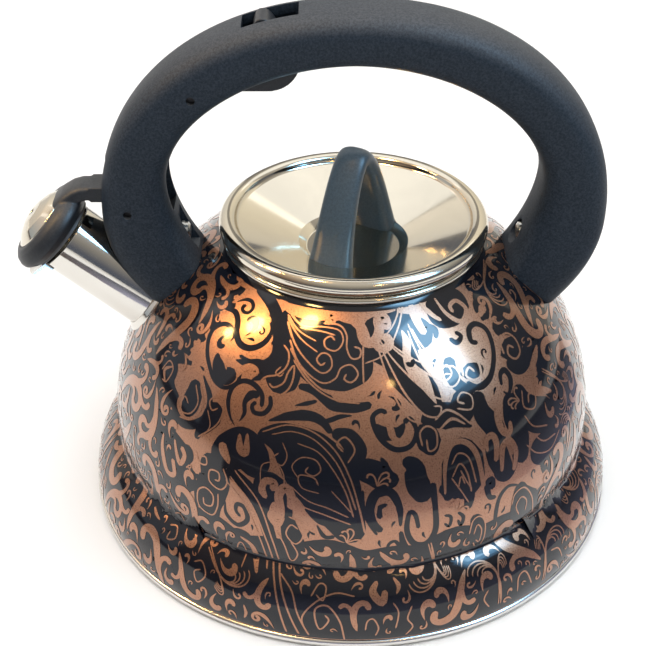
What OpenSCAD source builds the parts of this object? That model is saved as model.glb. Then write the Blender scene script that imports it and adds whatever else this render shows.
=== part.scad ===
// Stovetop whistling kettle: enamelled steel body, loop handle with trigger, flip-up whistle, lift-off lid.
// Origin: centre of the underside. +Z is up. The spout points to -X; the handle loop lies in the XZ plane.

/* [Body] */
// Diameter of the steel rim at the base
base_d = 220; // [218:0.5:222]
// Widest diameter of the dome
dome_d = 196.4; // [195:0.2:198]
// Height of the crease between flared band and dome
crease_z = 30; // [28:0.5:32]
// Diameter of the filling neck
neck_d = 100; // [99.6:0.1:100.4]
// Thickness of the enamelled steel wall
wall = 0.8; // [0.7:0.05:0.9]

/* [Spout] */
// Outer diameter of the spout tube
spout_d = 28; // [27:0.25:28.5]
// Angle of the spout above the horizontal
spout_angle = 41; // [40:0.5:42]
// Wall of the spout tube
spout_wall = 0.8; // [0.6:0.1:1]

/* [Handle] */
// Half of the outer width of the handle loop
handle_half = 97.2; // [96.5:0.1:98]
// Height of the top of the handle
handle_top = 211; // [210:0.5:212]
// Width of the grip, front to back
grip_w = 30; // [29:0.5:31]
// Extra width of the two feet
foot_flare = 6; // [4:0.5:7]

/* [Mechanism] */
// Diameter of the two hinge pins
pin_d = 3.2; // [3:0.1:3.4]
// Diameter of the whistle cap
cap_d = 38.6; // [37.5:0.1:39]

/* [Lid] */
// Outer diameter of the rolled lid rim
lid_d = 104.8; // [104.4:0.1:105.2]
// Height of the knob arch above the recess of the lid
knob_h = 39.5; // [38:0.5:41]
// Turn of the knob about the vertical
knob_turn = -28; // [-60:1:60]

/* [Hidden] */

$fn = 96;

// Body, revolved about Z
base_r = base_d / 2;
shell_z = 4;
shell_r = base_r - 1;
band_bulge = 3.9;
dome_r = dome_d / 2;
dome_mid_z = 38.9;
dome_rise = 89.6;
dome_top_z = 114.9;
neck_r = neck_d / 2;
neck_top_z = 116.4;
dome_steps = 22;
band_steps = 8;

// Base pan and heat-spreading capsule
pan_t = 0.8;
capsule_r = 89;
capsule_h = 3.2;

// Neck ring: a sleeve in the neck with a bead on top
sleeve_r = neck_r - wall - 0.05;
bead_r = 1.3;
bead_c = [neck_r + 0.2, 117.7];

// Spout: its axis meets the mouth plane at mouth_c
spout_r = spout_d / 2;
mouth_c = [-113.9, 0, 116.2];
spout_len = 46;
mouth_gap = 1;
collar_r = spout_r + 2.6;

// Handle loop: both outlines are superellipses above, and lean inwards below
outer_mid_z = 129;
outer_n = 2.12;
inner_half = handle_half - 26.2;
inner_mid_z = 143;
inner_top_z = handle_top - 20.4;
inner_n = 1.88;
leg_share = 0.66;
outer_leg = 52;
inner_leg = 46;
handle_steps = 44;
grip_points = 20;
slot_half = 6.5;

// Trigger and cap hinges, as [x, z]
trigger_c = [-59.4, 180];
cap_c = [-85.8, 132.9];
pin_r = pin_d / 2;
pin_half = 13;
lever_half = 5.5;
hinge_slack = 0.1;

// Brackets and their screws
tab_x = 70;
tab_t = 2;
tab_half = 5.5;
tab_top_z = 123;
screw_z = 117.5;
screw_r = 2;
screw_head_r = 3.6;
web_t = 3;

// Lid, revolved about Z
rim_r = 3.2;
rim_c = [lid_d / 2 - rim_r, 122.6];
lid_t = 0.8;
recess_r = 22;
recess_z = 114;
floor_r = 18.5;
floor_z = 111;
skirt_r = sleeve_r - wall - 0.5;
skirt_z = 107;
knob_span = 20.5;
knob_steps = 26;
knob_points = 16;
knob_screw_x = 17;

// Whistle cap, revolved about the spout axis
cap_r = cap_d / 2;
cap_back = 1.5;
cap_front = 10.8;
disc_r = 13.5;
disc_z = 9.7;
chamber_r = 11;

// ---- shared shapes ----

function sgn_pow(v, p) = sign(v) * pow(abs(v), p);

// Points of an arc from p to q that bulges by sag to the right of the way from p to q
function arc_points(p, q, sag, steps) =
    let (chord = norm(q - p), r = (chord * chord / 4 + sag * sag) / (2 * sag))
    let (dir = (q - p) / chord, out = [dir[1], -dir[0]])
    let (c = (p + q) / 2 - out * (r - sag), half = asin(chord / 2 / r))
    [for (i = [0 : steps]) let (a = -half + 2 * half * i / steps) c + r * (cos(a) * out + sin(a) * dir)];

// Dome radius at height z, for a surface lying d outside the enamel
function dome_at(z, d) = (dome_r + d) * sqrt(max(0, 1 - pow((z - dome_mid_z) / (dome_rise + d), 2)));

// Outline of the dome from step i0 above the crease up to height z1
function dome_points(d, i0, z1) =
    [for (i = [i0 : dome_steps]) let (z = crease_z + (z1 - crease_z) * i / dome_steps) [dome_at(z, d), z]];

// Solid filling the dome, grown by d
module dome_solid(d) {
    top = dome_top_z + 4;
    rotate_extrude()
        polygon(concat([[0, crease_z]], dome_points(d, 0, dome_top_z), [[dome_at(top, d), top], [0, top]]));
}

// Places children with +Z along the spout and +X square to it, upwards
module at_mouth() {
    translate(mouth_c) rotate([0, spout_angle - 90, 0]) children();
}

// A cylinder across the handle, centred on [x, z]
module cross_pin(c, r, y0, y1) {
    translate([c[0], y1, c[1]]) rotate([90, 0, 0]) cylinder(r = r, h = y1 - y0);
}

// A plate across the handle, from an outline in [x, z]
module cross_plate(outline, y0, y1) {
    translate([0, y1, 0]) rotate([90, 0, 0]) linear_extrude(y1 - y0) polygon(outline);
}

// A closed bar through a list of rings with equal numbers of points
module ring_bar(rings) {
    n = len(rings[0]);
    last = len(rings) - 1;
    side = [for (i = [0 : last - 1], j = [0 : n - 1])
        let (a = i * n + j, b = i * n + (j + 1) % n) [[a, a + n, b], [b, a + n, b + n]]];
    faces = concat(
        [for (pair = side, f = pair) f],
        [[for (j = [0 : n - 1]) j]],
        [[for (j = [n - 1 : -1 : 0]) last * n + j]]
    );
    polyhedron(points = [for (ring = rings, p = ring) p], faces = faces);
}

// ---- body ----

module body_shell() {
    bottom = [shell_r, shell_z];
    crease = [dome_at(crease_z, 0), crease_z];
    neck = [[neck_r + 0.7, 115.7], [neck_r, neck_top_z]];
    outer = concat(arc_points(bottom, crease, band_bulge, band_steps), dome_points(0, 1, dome_top_z), neck);
    in_crease = [dome_at(crease_z, -wall), crease_z];
    in_band = arc_points(bottom - [wall, 0], in_crease, band_bulge, band_steps);
    in_neck = [[neck_r + 0.2, 114.6], [neck_r - wall, 115.6], [neck_r - wall, neck_top_z]];
    inner = concat(in_band, dome_points(-wall, 1, dome_top_z - 1.2), in_neck);
    color("#16161c") difference() {
        rotate_extrude() polygon(concat(outer, [for (i = [len(inner) - 1 : -1 : 0]) inner[i]]));
        at_mouth() translate([0, 0, -spout_len - 12]) cylinder(r = spout_r + 0.05, h = spout_len + 12);
    }
}

module neck_ring() {
    color("silver") rotate_extrude() union() {
        translate([sleeve_r - wall, 108]) square([wall, bead_c[1] - 108]);
        translate([sleeve_r - wall, bead_c[1] - 1]) square([wall + 0.6, 2]);
        translate(bead_c) circle(r = bead_r);
    }
}

module base_pan() {
    color("silver") rotate_extrude() union() {
        translate([0, capsule_h]) square([base_r - 1.5, pan_t]);
        translate([base_r - 2.6, 0.8]) square([2, capsule_h]);
        translate([base_r - 1.6, 2.4]) circle(r = 1.6);
    }
}

module capsule_core() {
    color("gainsboro") translate([0, 0, pan_t]) cylinder(r = capsule_r - 1, h = capsule_h - pan_t);
}

module capsule_cover() {
    color("silver") difference() {
        cylinder(r = capsule_r, h = capsule_h);
        translate([0, 0, pan_t]) cylinder(r = capsule_r - 1, h = capsule_h);
    }
}

// ---- spout ----

module spout_tube() {
    color("silver") difference() {
        at_mouth() translate([0, 0, -spout_len]) cylinder(r = spout_r, h = spout_len - mouth_gap);
        at_mouth() translate([0, 0, -spout_len - 1]) cylinder(r = spout_r - spout_wall, h = spout_len + 2);
        dome_solid(-wall);
    }
}

// Flared ring where the tube meets the dome
module spout_collar() {
    color("silver") difference() {
        intersection() {
            at_mouth() translate([0, 0, -spout_len - 20]) cylinder(r = collar_r, h = spout_len + 10);
            dome_solid(1.6);
        }
        at_mouth() translate([0, 0, -spout_len - 21]) cylinder(r = spout_r + 0.02, h = spout_len + 30);
        dome_solid(0.02);
        translate([-tab_x - tab_t - 0.6, -30, 90]) cube([60, 60, 40]);
    }
}

// Pouring lip: a flared tongue on the lower side of the mouth, under the whistle cap
module spout_lip() {
    lip = [[spout_r + 0.02, -4], [spout_r + 0.6, -4], [spout_r + 0.9, -1.2],
           [20.4, 1.1], [20.2, 1.7], [spout_r, -0.3]];
    color("silver") at_mouth() rotate([0, 0, 135]) rotate_extrude(angle = 90) polygon(lip);
}

// ---- handle ----

// Outer and inner outline of the loop at t, from -1 at the front foot to 1 at the rear foot
function outer_at(t) =
    let (a = abs(t), th = 90 * min(1, a / leg_share), g = max(0, a - leg_share) / (1 - leg_share))
    [sign(t) * (handle_half * pow(sin(th), 2 / outer_n) - 32 * pow(g, 2.2)),
     outer_mid_z + (handle_top - outer_mid_z) * pow(cos(th), 2 / outer_n) - outer_leg * g];

function inner_at(t) =
    let (a = abs(t), th = 90 * min(1, a / leg_share), g = max(0, a - leg_share) / (1 - leg_share))
    [sign(t) * (inner_half * pow(sin(th), 2 / inner_n) - 21 * pow(g, 1.8)),
     inner_mid_z + (inner_top_z - inner_mid_z) * pow(cos(th), 2 / inner_n) - inner_leg * g];

// A point of the section at t, w inwards from the outer outline or outwards from the inner one
function from_outer(t, w) = let (o = outer_at(t), i = inner_at(t)) o + (i - o) / norm(i - o) * w;
function from_inner(t, w) = let (o = outer_at(t), i = inner_at(t)) i + (o - i) / norm(i - o) * w;

// A rounded ring between points o and i in [x, z], with width w along Y, softer on the outer side
function section_ring(o, i, w, n, soft_out, soft_in) =
    [for (j = [0 : n - 1])
        let (a = 360 * j / n, s = sin(a), c = cos(a), p = 2 / (s >= 0 ? soft_out : soft_in))
        let (m = (o + i) / 2 + (o - i) / 2 * sgn_pow(s, p))
        [m[0], w / 2 * sgn_pow(c, p), m[1]]];

function grip_width(t) = grip_w + foot_flare * pow(max(0, abs(t) - leg_share) / (1 - leg_share), 1.3);

module loop_bar() {
    ring_bar([for (k = [0 : handle_steps])
        let (t = -1 + 2 * k / handle_steps)
        section_ring(outer_at(t), inner_at(t), grip_width(t), grip_points, 2.7, 3.4)]);
}

// Loop angle, in degrees from the top, as t
function t_of(deg) = -leg_share * deg / 90;

// Space for the lever: open below along the grip, closed round the bend, open inwards down the leg
module lever_space() {
    top = [for (d = [13 : 7 : 90]) from_outer(t_of(d), 4)];
    roof = concat(top, [from_outer(-0.7, 4), from_outer(-0.74, 4)]);
    under_grip = [for (d = [13 : 7 : 48]) from_inner(t_of(d), -4)];
    bend = [for (d = [49 : 7 : 77]) from_inner(t_of(d), 3)];
    leg = [from_inner(t_of(78), -6), from_inner(-0.66, -6), from_inner(-0.72, -6), from_inner(-0.76, 2)];
    floor_pts = concat(under_grip, bend, leg);
    cross_plate(concat(roof, [for (i = [len(floor_pts) - 1 : -1 : 0]) floor_pts[i]]), -slot_half, slot_half);
}

// Pocket for a bracket tab, with the screw's way in from the inner side of the leg
module bracket_space() {
    translate([-tab_x - tab_t - 0.2, -tab_half - 0.2, 92])
        cube([tab_t + 0.4, 2 * tab_half + 0.4, tab_top_z - 91.8]);
    translate([-tab_x + web_t, 0, screw_z]) rotate([0, 90, 0]) cylinder(r = 4.6, h = 30);
    translate([-tab_x - 8, 0, screw_z]) rotate([0, 90, 0]) cylinder(r = screw_r + 0.3, h = 20);
}

module handle_body() {
    color("#24262b") difference() {
        loop_bar();
        dome_solid(0.05);
        intersection() {
            dome_solid(1.9);
            translate([-80, -tab_half - 0.5, 80]) cube([160, 2 * tab_half + 1, 40]);
        }
        at_mouth() translate([0, 0, -80]) cylinder(r = spout_r + 0.4, h = 120);
        intersection() {
            dome_solid(2);
            at_mouth() translate([0, 0, -80]) cylinder(r = collar_r + 0.3, h = 120);
        }
        lever_space();
        translate([-41, -5.5, 194]) cube([20.5, 11, 25]);
        translate([-104, -slot_half, 127]) cube([16, 2 * slot_half, 25]);
        translate([-68, -4, 112]) cube([12, 8, 22]);
        cross_pin(trigger_c, pin_r + 0.05, -20, 20);
        cross_pin(cap_c, pin_r + 0.05, -20, 20);
        bracket_space();
        mirror([1, 0, 0]) bracket_space();
    }
}

// A tab standing on a short foot that is welded to the dome
module bracket() {
    difference() {
        union() {
            translate([-tab_x - tab_t, -tab_half, 92]) cube([tab_t, 2 * tab_half, tab_top_z - 92]);
            intersection() {
                dome_solid(1.6);
                translate([-tab_x - 1, -tab_half, 92]) cube([10, 2 * tab_half, 24]);
            }
        }
        dome_solid(0.02);
        translate([-tab_x - 5, 0, screw_z]) rotate([0, 90, 0]) cylinder(r = screw_r + 0.03, h = 10);
    }
}

module front_bracket() {
    color("silver") bracket();
}

module rear_bracket() {
    color("silver") mirror([1, 0, 0]) bracket();
}

// Both screws are driven outwards from inside the loop
module both_feet() {
    for (m = [0, 1]) mirror([m, 0, 0])
        translate([-tab_x + web_t, 0, screw_z]) rotate([0, 90, 0]) children();
}

module handle_screws() {
    color("silver") both_feet() difference() {
        union() {
            translate([0, 0, 0.8]) cylinder(r = screw_head_r, h = 1.6);
            translate([0, 0, 2.4]) cylinder(r1 = screw_head_r, r2 = screw_head_r - 1, h = 0.7);
            translate([0, 0, -7]) cylinder(r = screw_r, h = 8);
        }
        for (a = [0, 90]) rotate([0, 0, a]) translate([-2.2, -0.45, 1.9]) cube([4.4, 0.9, 2]);
    }
}

module handle_washers() {
    color("silver") both_feet() difference() {
        cylinder(r = screw_head_r + 0.5, h = 0.8);
        translate([0, 0, -1]) cylinder(r = screw_r + 0.03, h = 3);
    }
}

module trigger_pin() {
    color("gray") cross_pin(trigger_c, pin_r, -pin_half, pin_half);
}

module cap_pin() {
    color("gray") cross_pin(cap_c, pin_r, -pin_half, pin_half);
}

// ---- trigger ----

// Finger pad below, hump in the top window, and a nose that reaches down to the cap's tail
module trigger_lever() {
    pad_end = arc_points([-32, 179.4], [-20.3, 188.5], 2.6, 6);
    hump = [[-25.5, 196.2], [-27.2, 200.5], [-29.6, 204.6], [-31.6, 206.6], [-33.6, 207.3],
            [-35.4, 206.6], [-36.6, 204.4], [-37.4, 200]];
    back = [[-37.4, 196], [-48, 189.5], [-58, 186]];
    pad = concat([[-57, 176], [-45, 179.4]], pad_end, [[-20, 194]], hump, back);
    nose = [[-60, 185.4], [-64.6, 182], [-72, 174.5], [-82, 162], [-89.6, 150],
            [-91.2, 144.5], [-87.2, 144.5], [-84.6, 150], [-77.5, 159], [-64, 176.5], [-57, 174.6]];
    color("#1c1d21") difference() {
        union() {
            cross_plate(pad, -lever_half, lever_half);
            cross_plate(nose, -lever_half, 0.5);
            cross_pin(trigger_c, 5.5, -lever_half, lever_half);
            cross_pin([-89.2, 144.5], 2, -lever_half, 0.5);
        }
        cross_pin(trigger_c, pin_r + hinge_slack, -20, 20);
    }
}

// ---- whistle cap ----

// Moulded cap and arm, hinged on the cap pin, with a tail that the trigger's nose pushes
module whistle_cap() {
    cup = [[0, cap_back], [16.3, cap_back], [cap_r, cap_back + 3.1], [cap_r - 0.1, 6.4], [cap_r - 0.9, 8.2],
           [cap_r - 2.3, 9.9], [cap_r - 4.1, cap_front], [0, cap_front]];
    arm_z0 = 133.4;
    arm_z1 = 139.6;
    color("#1c1d21") difference() {
        union() {
            at_mouth() rotate_extrude() polygon(cup);
            hull() {
                translate([-106.5, -6, arm_z0]) cube([6, 12, arm_z1 - arm_z0]);
                at_mouth() translate([8, 0, 7]) cylinder(r = 9.5, h = 4.2, $fn = 32);
            }
            translate([-101, -6, arm_z0]) cube([8.4, 12, arm_z1 - arm_z0]);
            translate([-93, -6, arm_z0]) cube([6, 6.6, 4.2]);
            cross_pin(cap_c, 5.4, -6, 0.6);
            translate([-86.4, -6, cap_c[1]]) cube([3.6, 6.6, 11.6]);
        }
        at_mouth() translate([0, 0, -5]) cylinder(r = chamber_r, h = 17);
        at_mouth() translate([0, 0, -5]) cylinder(r = 2.5, h = 30);
        at_mouth() translate([0, 0, disc_z]) cylinder(r = disc_r + 0.1, h = 10);
        cross_pin(cap_c, pin_r + hinge_slack, -20, 20);
    }
}

// Torsion spring on the cap pin: three coils, one leg up behind the wall and one along the arm
module cap_spring() {
    wire = 0.55;
    coil_r = 3;
    color("gray") union() {
        translate([cap_c[0], 5.3, cap_c[1]]) rotate([90, 0, 0]) rotate_extrude()
            for (k = [0 : 2]) translate([coil_r, 0.6 + 1.05 * k]) circle(r = wire, $fn = 24);
        translate([cap_c[0] - coil_r, 4.7, cap_c[1]]) cylinder(r = wire - 0.1, h = 13, $fn = 24);
        translate([cap_c[0], 2.6, cap_c[1] + coil_r]) rotate([0, -90, 0])
            cylinder(r = wire - 0.1, h = 6.2, $fn = 24);
    }
}

// Silicone ring between the cap and the mouth
module cap_seal() {
    color("dimgray") at_mouth() difference() {
        translate([0, 0, 0.3]) cylinder(r = 15, h = cap_back - 0.3);
        cylinder(r = chamber_r - 1.5, h = 5);
    }
}

// Domed outer whistle plate with its blow hole
module whistle_front_disc() {
    crown = arc_points([disc_r, disc_z + 0.8], [0, disc_z + 5.5], 1.2, 8);
    color("silver") at_mouth() difference() {
        rotate_extrude() polygon(concat([[0, disc_z], [disc_r, disc_z]], crown));
        translate([0, 0, disc_z - 1]) cylinder(r = 1.5, h = 10);
    }
}

module whistle_rear_disc() {
    color("silver") at_mouth() difference() {
        translate([0, 0, cap_back + 0.4]) cylinder(r = chamber_r - 0.02, h = 0.6);
        cylinder(r = 1.5, h = 5);
    }
}

// ---- lid ----

// Height of the dish surface at radius r
function dish_z(r) = recess_z + (r - recess_r) * (rim_c[1] + 1.6 - recess_z) / (rim_c[0] - 2.8 - recess_r);

module lid_dish() {
    slope_top = [rim_c[0] - 2.2, dish_z(rim_c[0] - 2.2)];
    top = [[0, floor_z], [floor_r, floor_z], [floor_r + 1.6, floor_z + 0.7], [recess_r, recess_z], slope_top];
    under = [for (i = [len(top) - 1 : -1 : 0]) top[i] - [0, lid_t]];
    color("silver") difference() {
        union() {
            rotate_extrude() polygon(concat(top, under));
            rotate_extrude() difference() {
                translate(rim_c) circle(r = rim_r);
                translate(rim_c) circle(r = rim_r - lid_t);
                translate([rim_c[0] - 1.2, rim_c[1] - 5]) square([1.4, 5]);
            }
        }
        knob_holes();
    }
}

module knob_holes() {
    rotate([0, 0, knob_turn]) for (s = [-1, 1])
        translate([0, s * knob_screw_x, 100]) cylinder(r = 1.7, h = 15);
}

// Ring that plugs the lid into the neck
module lid_skirt() {
    top_z = rim_c[1] - 3.05;
    color("silver") difference() {
        translate([0, 0, skirt_z]) cylinder(r = skirt_r, h = top_z - skirt_z);
        translate([0, 0, skirt_z - 1]) cylinder(r = skirt_r - 0.6, h = 20);
    }
}

// Solid under the dish surface, used to seat the knob
module dish_solid() {
    rotate_extrude() polygon([[0, 100], [0, floor_z], [floor_r, floor_z], [floor_r + 1.6, floor_z + 0.7],
        [recess_r, recess_z], [rim_c[0], dish_z(rim_c[0])], [rim_c[0], 100]]);
}

// Strap arch that stands in the recess; it narrows and thins towards the crown
module lid_knob() {
    rings = [for (k = [0 : knob_steps])
        let (a = 180 * k / knob_steps, low = 1 - sin(a), t = 7 + 3.4 * low, w = 12.5 + 8 * low)
        let (rise = (recess_z + knob_h - 111.5) * (1 - pow(abs(cos(a)), 1.8)))
        let (c = [-knob_span * cos(a), rise + 108])
        let (n = [-cos(a) * 2.6, sin(a)], u = n / norm(n))
        section_ring(c + u * t / 2, c - u * t / 2, w, knob_points, 2.4, 3)];
    color("#1c1d21") difference() {
        rotate([0, 0, 90 + knob_turn]) ring_bar(rings);
        translate([0, 0, 0.02]) dish_solid();
        rotate([0, 0, knob_turn]) for (s = [-1, 1])
            translate([0, s * knob_screw_x, 100]) cylinder(r = 1.5, h = 21);
    }
}

module knob_screws() {
    color("silver") rotate([0, 0, knob_turn]) for (s = [-1, 1]) translate([0, s * knob_screw_x, 0]) {
        translate([0, 0, floor_z - lid_t - 0.8 - 2]) cylinder(r = 2.8, h = 2);
        translate([0, 0, floor_z - lid_t - 1.2]) cylinder(r = 1.47, h = 10);
    }
}

module knob_washers() {
    color("silver") rotate([0, 0, knob_turn]) for (s = [-1, 1])
        translate([0, s * knob_screw_x, floor_z - lid_t - 0.8]) difference() {
            cylinder(r = 3.6, h = 0.8);
            translate([0, 0, -1]) cylinder(r = 1.55, h = 3);
        }
}

body_shell();
neck_ring();
base_pan();
capsule_core();
capsule_cover();
spout_tube();
spout_collar();
spout_lip();
front_bracket();
rear_bracket();
handle_body();
handle_screws();
handle_washers();
trigger_pin();
cap_pin();
trigger_lever();
whistle_cap();
cap_spring();
cap_seal();
whistle_front_disc();
whistle_rear_disc();
lid_dish();
lid_skirt();
lid_knob();
knob_screws();
knob_washers();
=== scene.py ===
"""Looks of the stovetop whistling kettle: enamelled dome with a printed copper scroll pattern, polished
steel lid, spout and base rim, and moulded nylon handle, knob and whistle cap. Lengths are in mm unless a
name says m."""

import math
import random

import bmesh
import bpy
import numpy as np
from mathutils import Matrix, Vector

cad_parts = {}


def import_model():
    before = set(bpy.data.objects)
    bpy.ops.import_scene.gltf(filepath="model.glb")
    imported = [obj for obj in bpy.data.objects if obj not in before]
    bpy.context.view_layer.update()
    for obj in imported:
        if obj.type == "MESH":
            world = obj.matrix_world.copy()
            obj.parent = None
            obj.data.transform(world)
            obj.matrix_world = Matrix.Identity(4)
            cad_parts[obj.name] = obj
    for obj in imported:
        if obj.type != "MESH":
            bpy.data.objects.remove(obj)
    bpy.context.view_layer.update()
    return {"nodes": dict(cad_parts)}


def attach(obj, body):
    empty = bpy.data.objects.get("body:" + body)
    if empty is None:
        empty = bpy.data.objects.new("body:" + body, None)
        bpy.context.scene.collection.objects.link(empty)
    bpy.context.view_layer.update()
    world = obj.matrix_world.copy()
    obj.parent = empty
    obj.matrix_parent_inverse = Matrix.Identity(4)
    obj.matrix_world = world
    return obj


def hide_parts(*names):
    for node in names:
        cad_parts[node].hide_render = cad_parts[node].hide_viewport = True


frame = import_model()
MM = 0.001

# ---- sizes shared with the CAD ----
DOME_R, DOME_RISE, DOME_MID, CREASE = 98.2, 89.6, 38.9, 30.0
DOME_TOP, BAND_FOOT, BAND_BULGE = 114.9, (109.0, 4.0), 3.9
NECK_R, NECK_TOP = 50.0, 116.4
MOUTH, SPOUT_ANGLE, SPOUT_R = np.array([-113.9, 0.0, 116.2]), 41.0, 14.0
SPOUT_DIR = np.array([-math.cos(math.radians(SPOUT_ANGLE)), 0, math.sin(math.radians(SPOUT_ANGLE))])
SPOUT_UP = np.array([math.sin(math.radians(SPOUT_ANGLE)), 0, math.cos(math.radians(SPOUT_ANGLE))])
TRIGGER_PIN, CAP_PIN, PIN_HOLE = (-59.4, 180.0), (-85.8, 132.9), 1.65
HANDLE = dict(half=97.2, top=211.0, mid=129.0, n=2.12, lean=32.0, drop=52.0, lean_p=2.2)
INNER = dict(half=71.0, top=190.6, mid=143.0, n=1.88, lean=21.0, drop=46.0, lean_p=1.8)
LEG_SHARE, GRIP_W, FOOT_FLARE = 0.66, 30.0, 6.0
# Half widths along Y of the slot in the handle, its window on top and the lever, and the lever's bore
SLOT_HALF, WINDOW_HALF, LEVER_HALF, LEVER_BORE = 6.5, 5.9, 5.5, 1.7


# ---------------------------------------------------------------- mesh helpers

def link(obj):
    bpy.context.scene.collection.objects.link(obj)
    return obj


def mesh_object(name, verts_mm, faces, smooth_deg=40):
    mesh = bpy.data.meshes.new(name)
    mesh.from_pydata((np.asarray(verts_mm, float) * MM).tolist(), [], [list(f) for f in faces])
    mesh.validate()
    mesh.polygons.foreach_set("use_smooth", [True] * len(mesh.polygons))
    if smooth_deg:
        mesh.set_sharp_from_angle(angle=math.radians(smooth_deg))
    return link(bpy.data.objects.new(name, mesh))


def finish_piece(obj, body, material, slot, *nodes):
    obj.data.materials.clear()
    obj.data.materials.append(material)
    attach(obj, body)
    if nodes:
        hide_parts(*nodes)
    return obj


def fillet(points, radius, steps=5, closed=True):
    """A 2D outline with its corners rounded; radius may be one number or one for each corner."""
    p = np.array(points, float)
    n = len(p)
    radii = np.full(n, float(radius)) if np.isscalar(radius) else np.array(radius, float)
    out = []
    for i in range(n):
        if radii[i] <= 0 or (not closed and i in (0, n - 1)):
            out.append(p[i])
            continue
        a, b = p[i - 1] - p[i], p[(i + 1) % n] - p[i]
        la, lb = np.linalg.norm(a), np.linalg.norm(b)
        a, b = a / la, b / lb
        half = math.acos(max(-1, min(1, a @ b))) / 2
        if half > math.radians(88):
            out.append(p[i])
            continue
        cut = min(radii[i] / math.tan(half), la * 0.48, lb * 0.48)
        r = cut * math.tan(half)
        centre = p[i] + (a + b) / np.linalg.norm(a + b) * (r / math.sin(half))
        s, e = p[i] + a * cut - centre, p[i] + b * cut - centre
        for t in np.linspace(0, 1, steps + 1):
            v = s * (1 - t) + e * t
            out.append(centre + v / np.linalg.norm(v) * r)
    return np.array(out)


def revolve(name, outline, steps=192, closed=True, smooth_deg=32):
    """A surface of revolution about Z, from (radius, height) points."""
    o = np.array(outline, float)
    a = np.linspace(0, 2 * np.pi, steps, endpoint=False)
    x, y = np.outer(np.cos(a), o[:, 0]), np.outer(np.sin(a), o[:, 0])
    verts = np.stack([x, y, np.tile(o[:, 1], (steps, 1))], -1)
    n = len(o)
    faces = [(i * n + j, i * n + (j + 1) % n, (i + 1) % steps * n + (j + 1) % n, (i + 1) % steps * n + j)
             for i in range(steps) for j in range(n if closed else n - 1)
             if max(o[j, 0], o[(j + 1) % n, 0]) > 1e-6]
    obj = mesh_object(name, verts.reshape(-1, 3), faces, 0)
    merge(obj)
    obj.data.set_sharp_from_angle(angle=math.radians(smooth_deg))
    return obj


def merge(obj, distance_mm=0.001):
    b = bmesh.new()
    b.from_mesh(obj.data)
    bmesh.ops.remove_doubles(b, verts=b.verts, dist=distance_mm * MM)
    bmesh.ops.dissolve_degenerate(b, edges=b.edges, dist=1e-7)
    bmesh.ops.recalc_face_normals(b, faces=b.faces)
    b.to_mesh(obj.data)
    b.free()
    obj.data.polygons.foreach_set("use_smooth", [True] * len(obj.data.polygons))
    return obj


def loft(name, rings, smooth_deg=40):
    """A closed bar through rings with equal numbers of points, capped with fans."""
    r = np.array(rings, float)
    k, n = r.shape[:2]
    verts = np.vstack([r.reshape(-1, 3), r[0].mean(0), r[-1].mean(0)])
    faces = [(i * n + j, (i + 1) * n + j, (i + 1) * n + (j + 1) % n, i * n + (j + 1) % n)
             for i in range(k - 1) for j in range(n)]
    faces += [(k * n, j, (j + 1) % n) for j in range(n)]
    faces += [(k * n + 1, (k - 1) * n + (j + 1) % n, (k - 1) * n + j) for j in range(n)]
    obj = mesh_object(name, verts, faces, 0)
    merge(obj)
    obj.data.set_sharp_from_angle(angle=math.radians(smooth_deg))
    return obj


def prism(name, outline_xz, y0, y1):
    """A plate across the handle from an outline in (x, z)."""
    o = np.array(outline_xz, float)
    n = len(o)
    verts = [(x, y, z) for y in (y0, y1) for x, z in o]
    faces = [(j, (j + 1) % n, n + (j + 1) % n, n + j) for j in range(n)]
    faces += [tuple(range(n)), tuple(range(2 * n - 1, n - 1, -1))]
    return merge(mesh_object(name, verts, faces, 0))


def box(name, lo, hi):
    return prism(name, [(lo[0], lo[2]), (hi[0], lo[2]), (hi[0], hi[2]), (lo[0], hi[2])], lo[1], hi[1])


def rod(name, start, end, radius, steps=48):
    s, e = np.array(start, float), np.array(end, float)
    d = (e - s) / np.linalg.norm(e - s)
    u = np.cross(d, [0, 1, 0] if abs(d[1]) < 0.9 else [1, 0, 0])
    u /= np.linalg.norm(u)
    v = np.cross(d, u)
    a = np.linspace(0, 2 * np.pi, steps, endpoint=False)[:, None]
    ring = radius * (np.cos(a) * u + np.sin(a) * v)
    return loft(name, [s + ring, e + ring])


def cross_rod(name, centre_xz, radius, y0=-20, y1=20, steps=48):
    """A rod along Y through a point of the XZ plane."""
    x, z = centre_xz
    return rod(name, (x, y0, z), (x, y1, z), radius, steps)


def evaluated(obj):
    """Applies an object's modifiers."""
    dg = bpy.context.evaluated_depsgraph_get()
    mesh = bpy.data.meshes.new_from_object(obj.evaluated_get(dg))
    obj.modifiers.clear()
    obj.data = mesh
    return obj


def cut(obj, *cutters, solver="EXACT"):
    for c in cutters:
        m = obj.modifiers.new("cut", "BOOLEAN")
        m.operation, m.object, m.solver = "DIFFERENCE", c, solver
        evaluated(obj)
        bpy.data.objects.remove(c)
    return obj


def melt(obj, others, voxel_mm, smooth=3):
    """Welds overlapping solids into one moulded body with softened edges."""
    for o in others:
        obj = join(obj, o)
    m = obj.modifiers.new("melt", "REMESH")
    m.mode, m.voxel_size, m.use_smooth_shade = "VOXEL", voxel_mm * MM, True
    s = obj.modifiers.new("soft", "SMOOTH")
    s.factor, s.iterations = 0.5, smooth
    return evaluated(obj)


def join(a, b):
    m = bmesh.new()
    m.from_mesh(a.data)
    m.from_mesh(b.data)
    m.to_mesh(a.data)
    m.free()
    bpy.data.objects.remove(b)
    return a


def shade(obj, deg=40):
    obj.data.polygons.foreach_set("use_smooth", [True] * len(obj.data.polygons))
    obj.data.set_sharp_from_angle(angle=math.radians(deg))
    return obj


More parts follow.
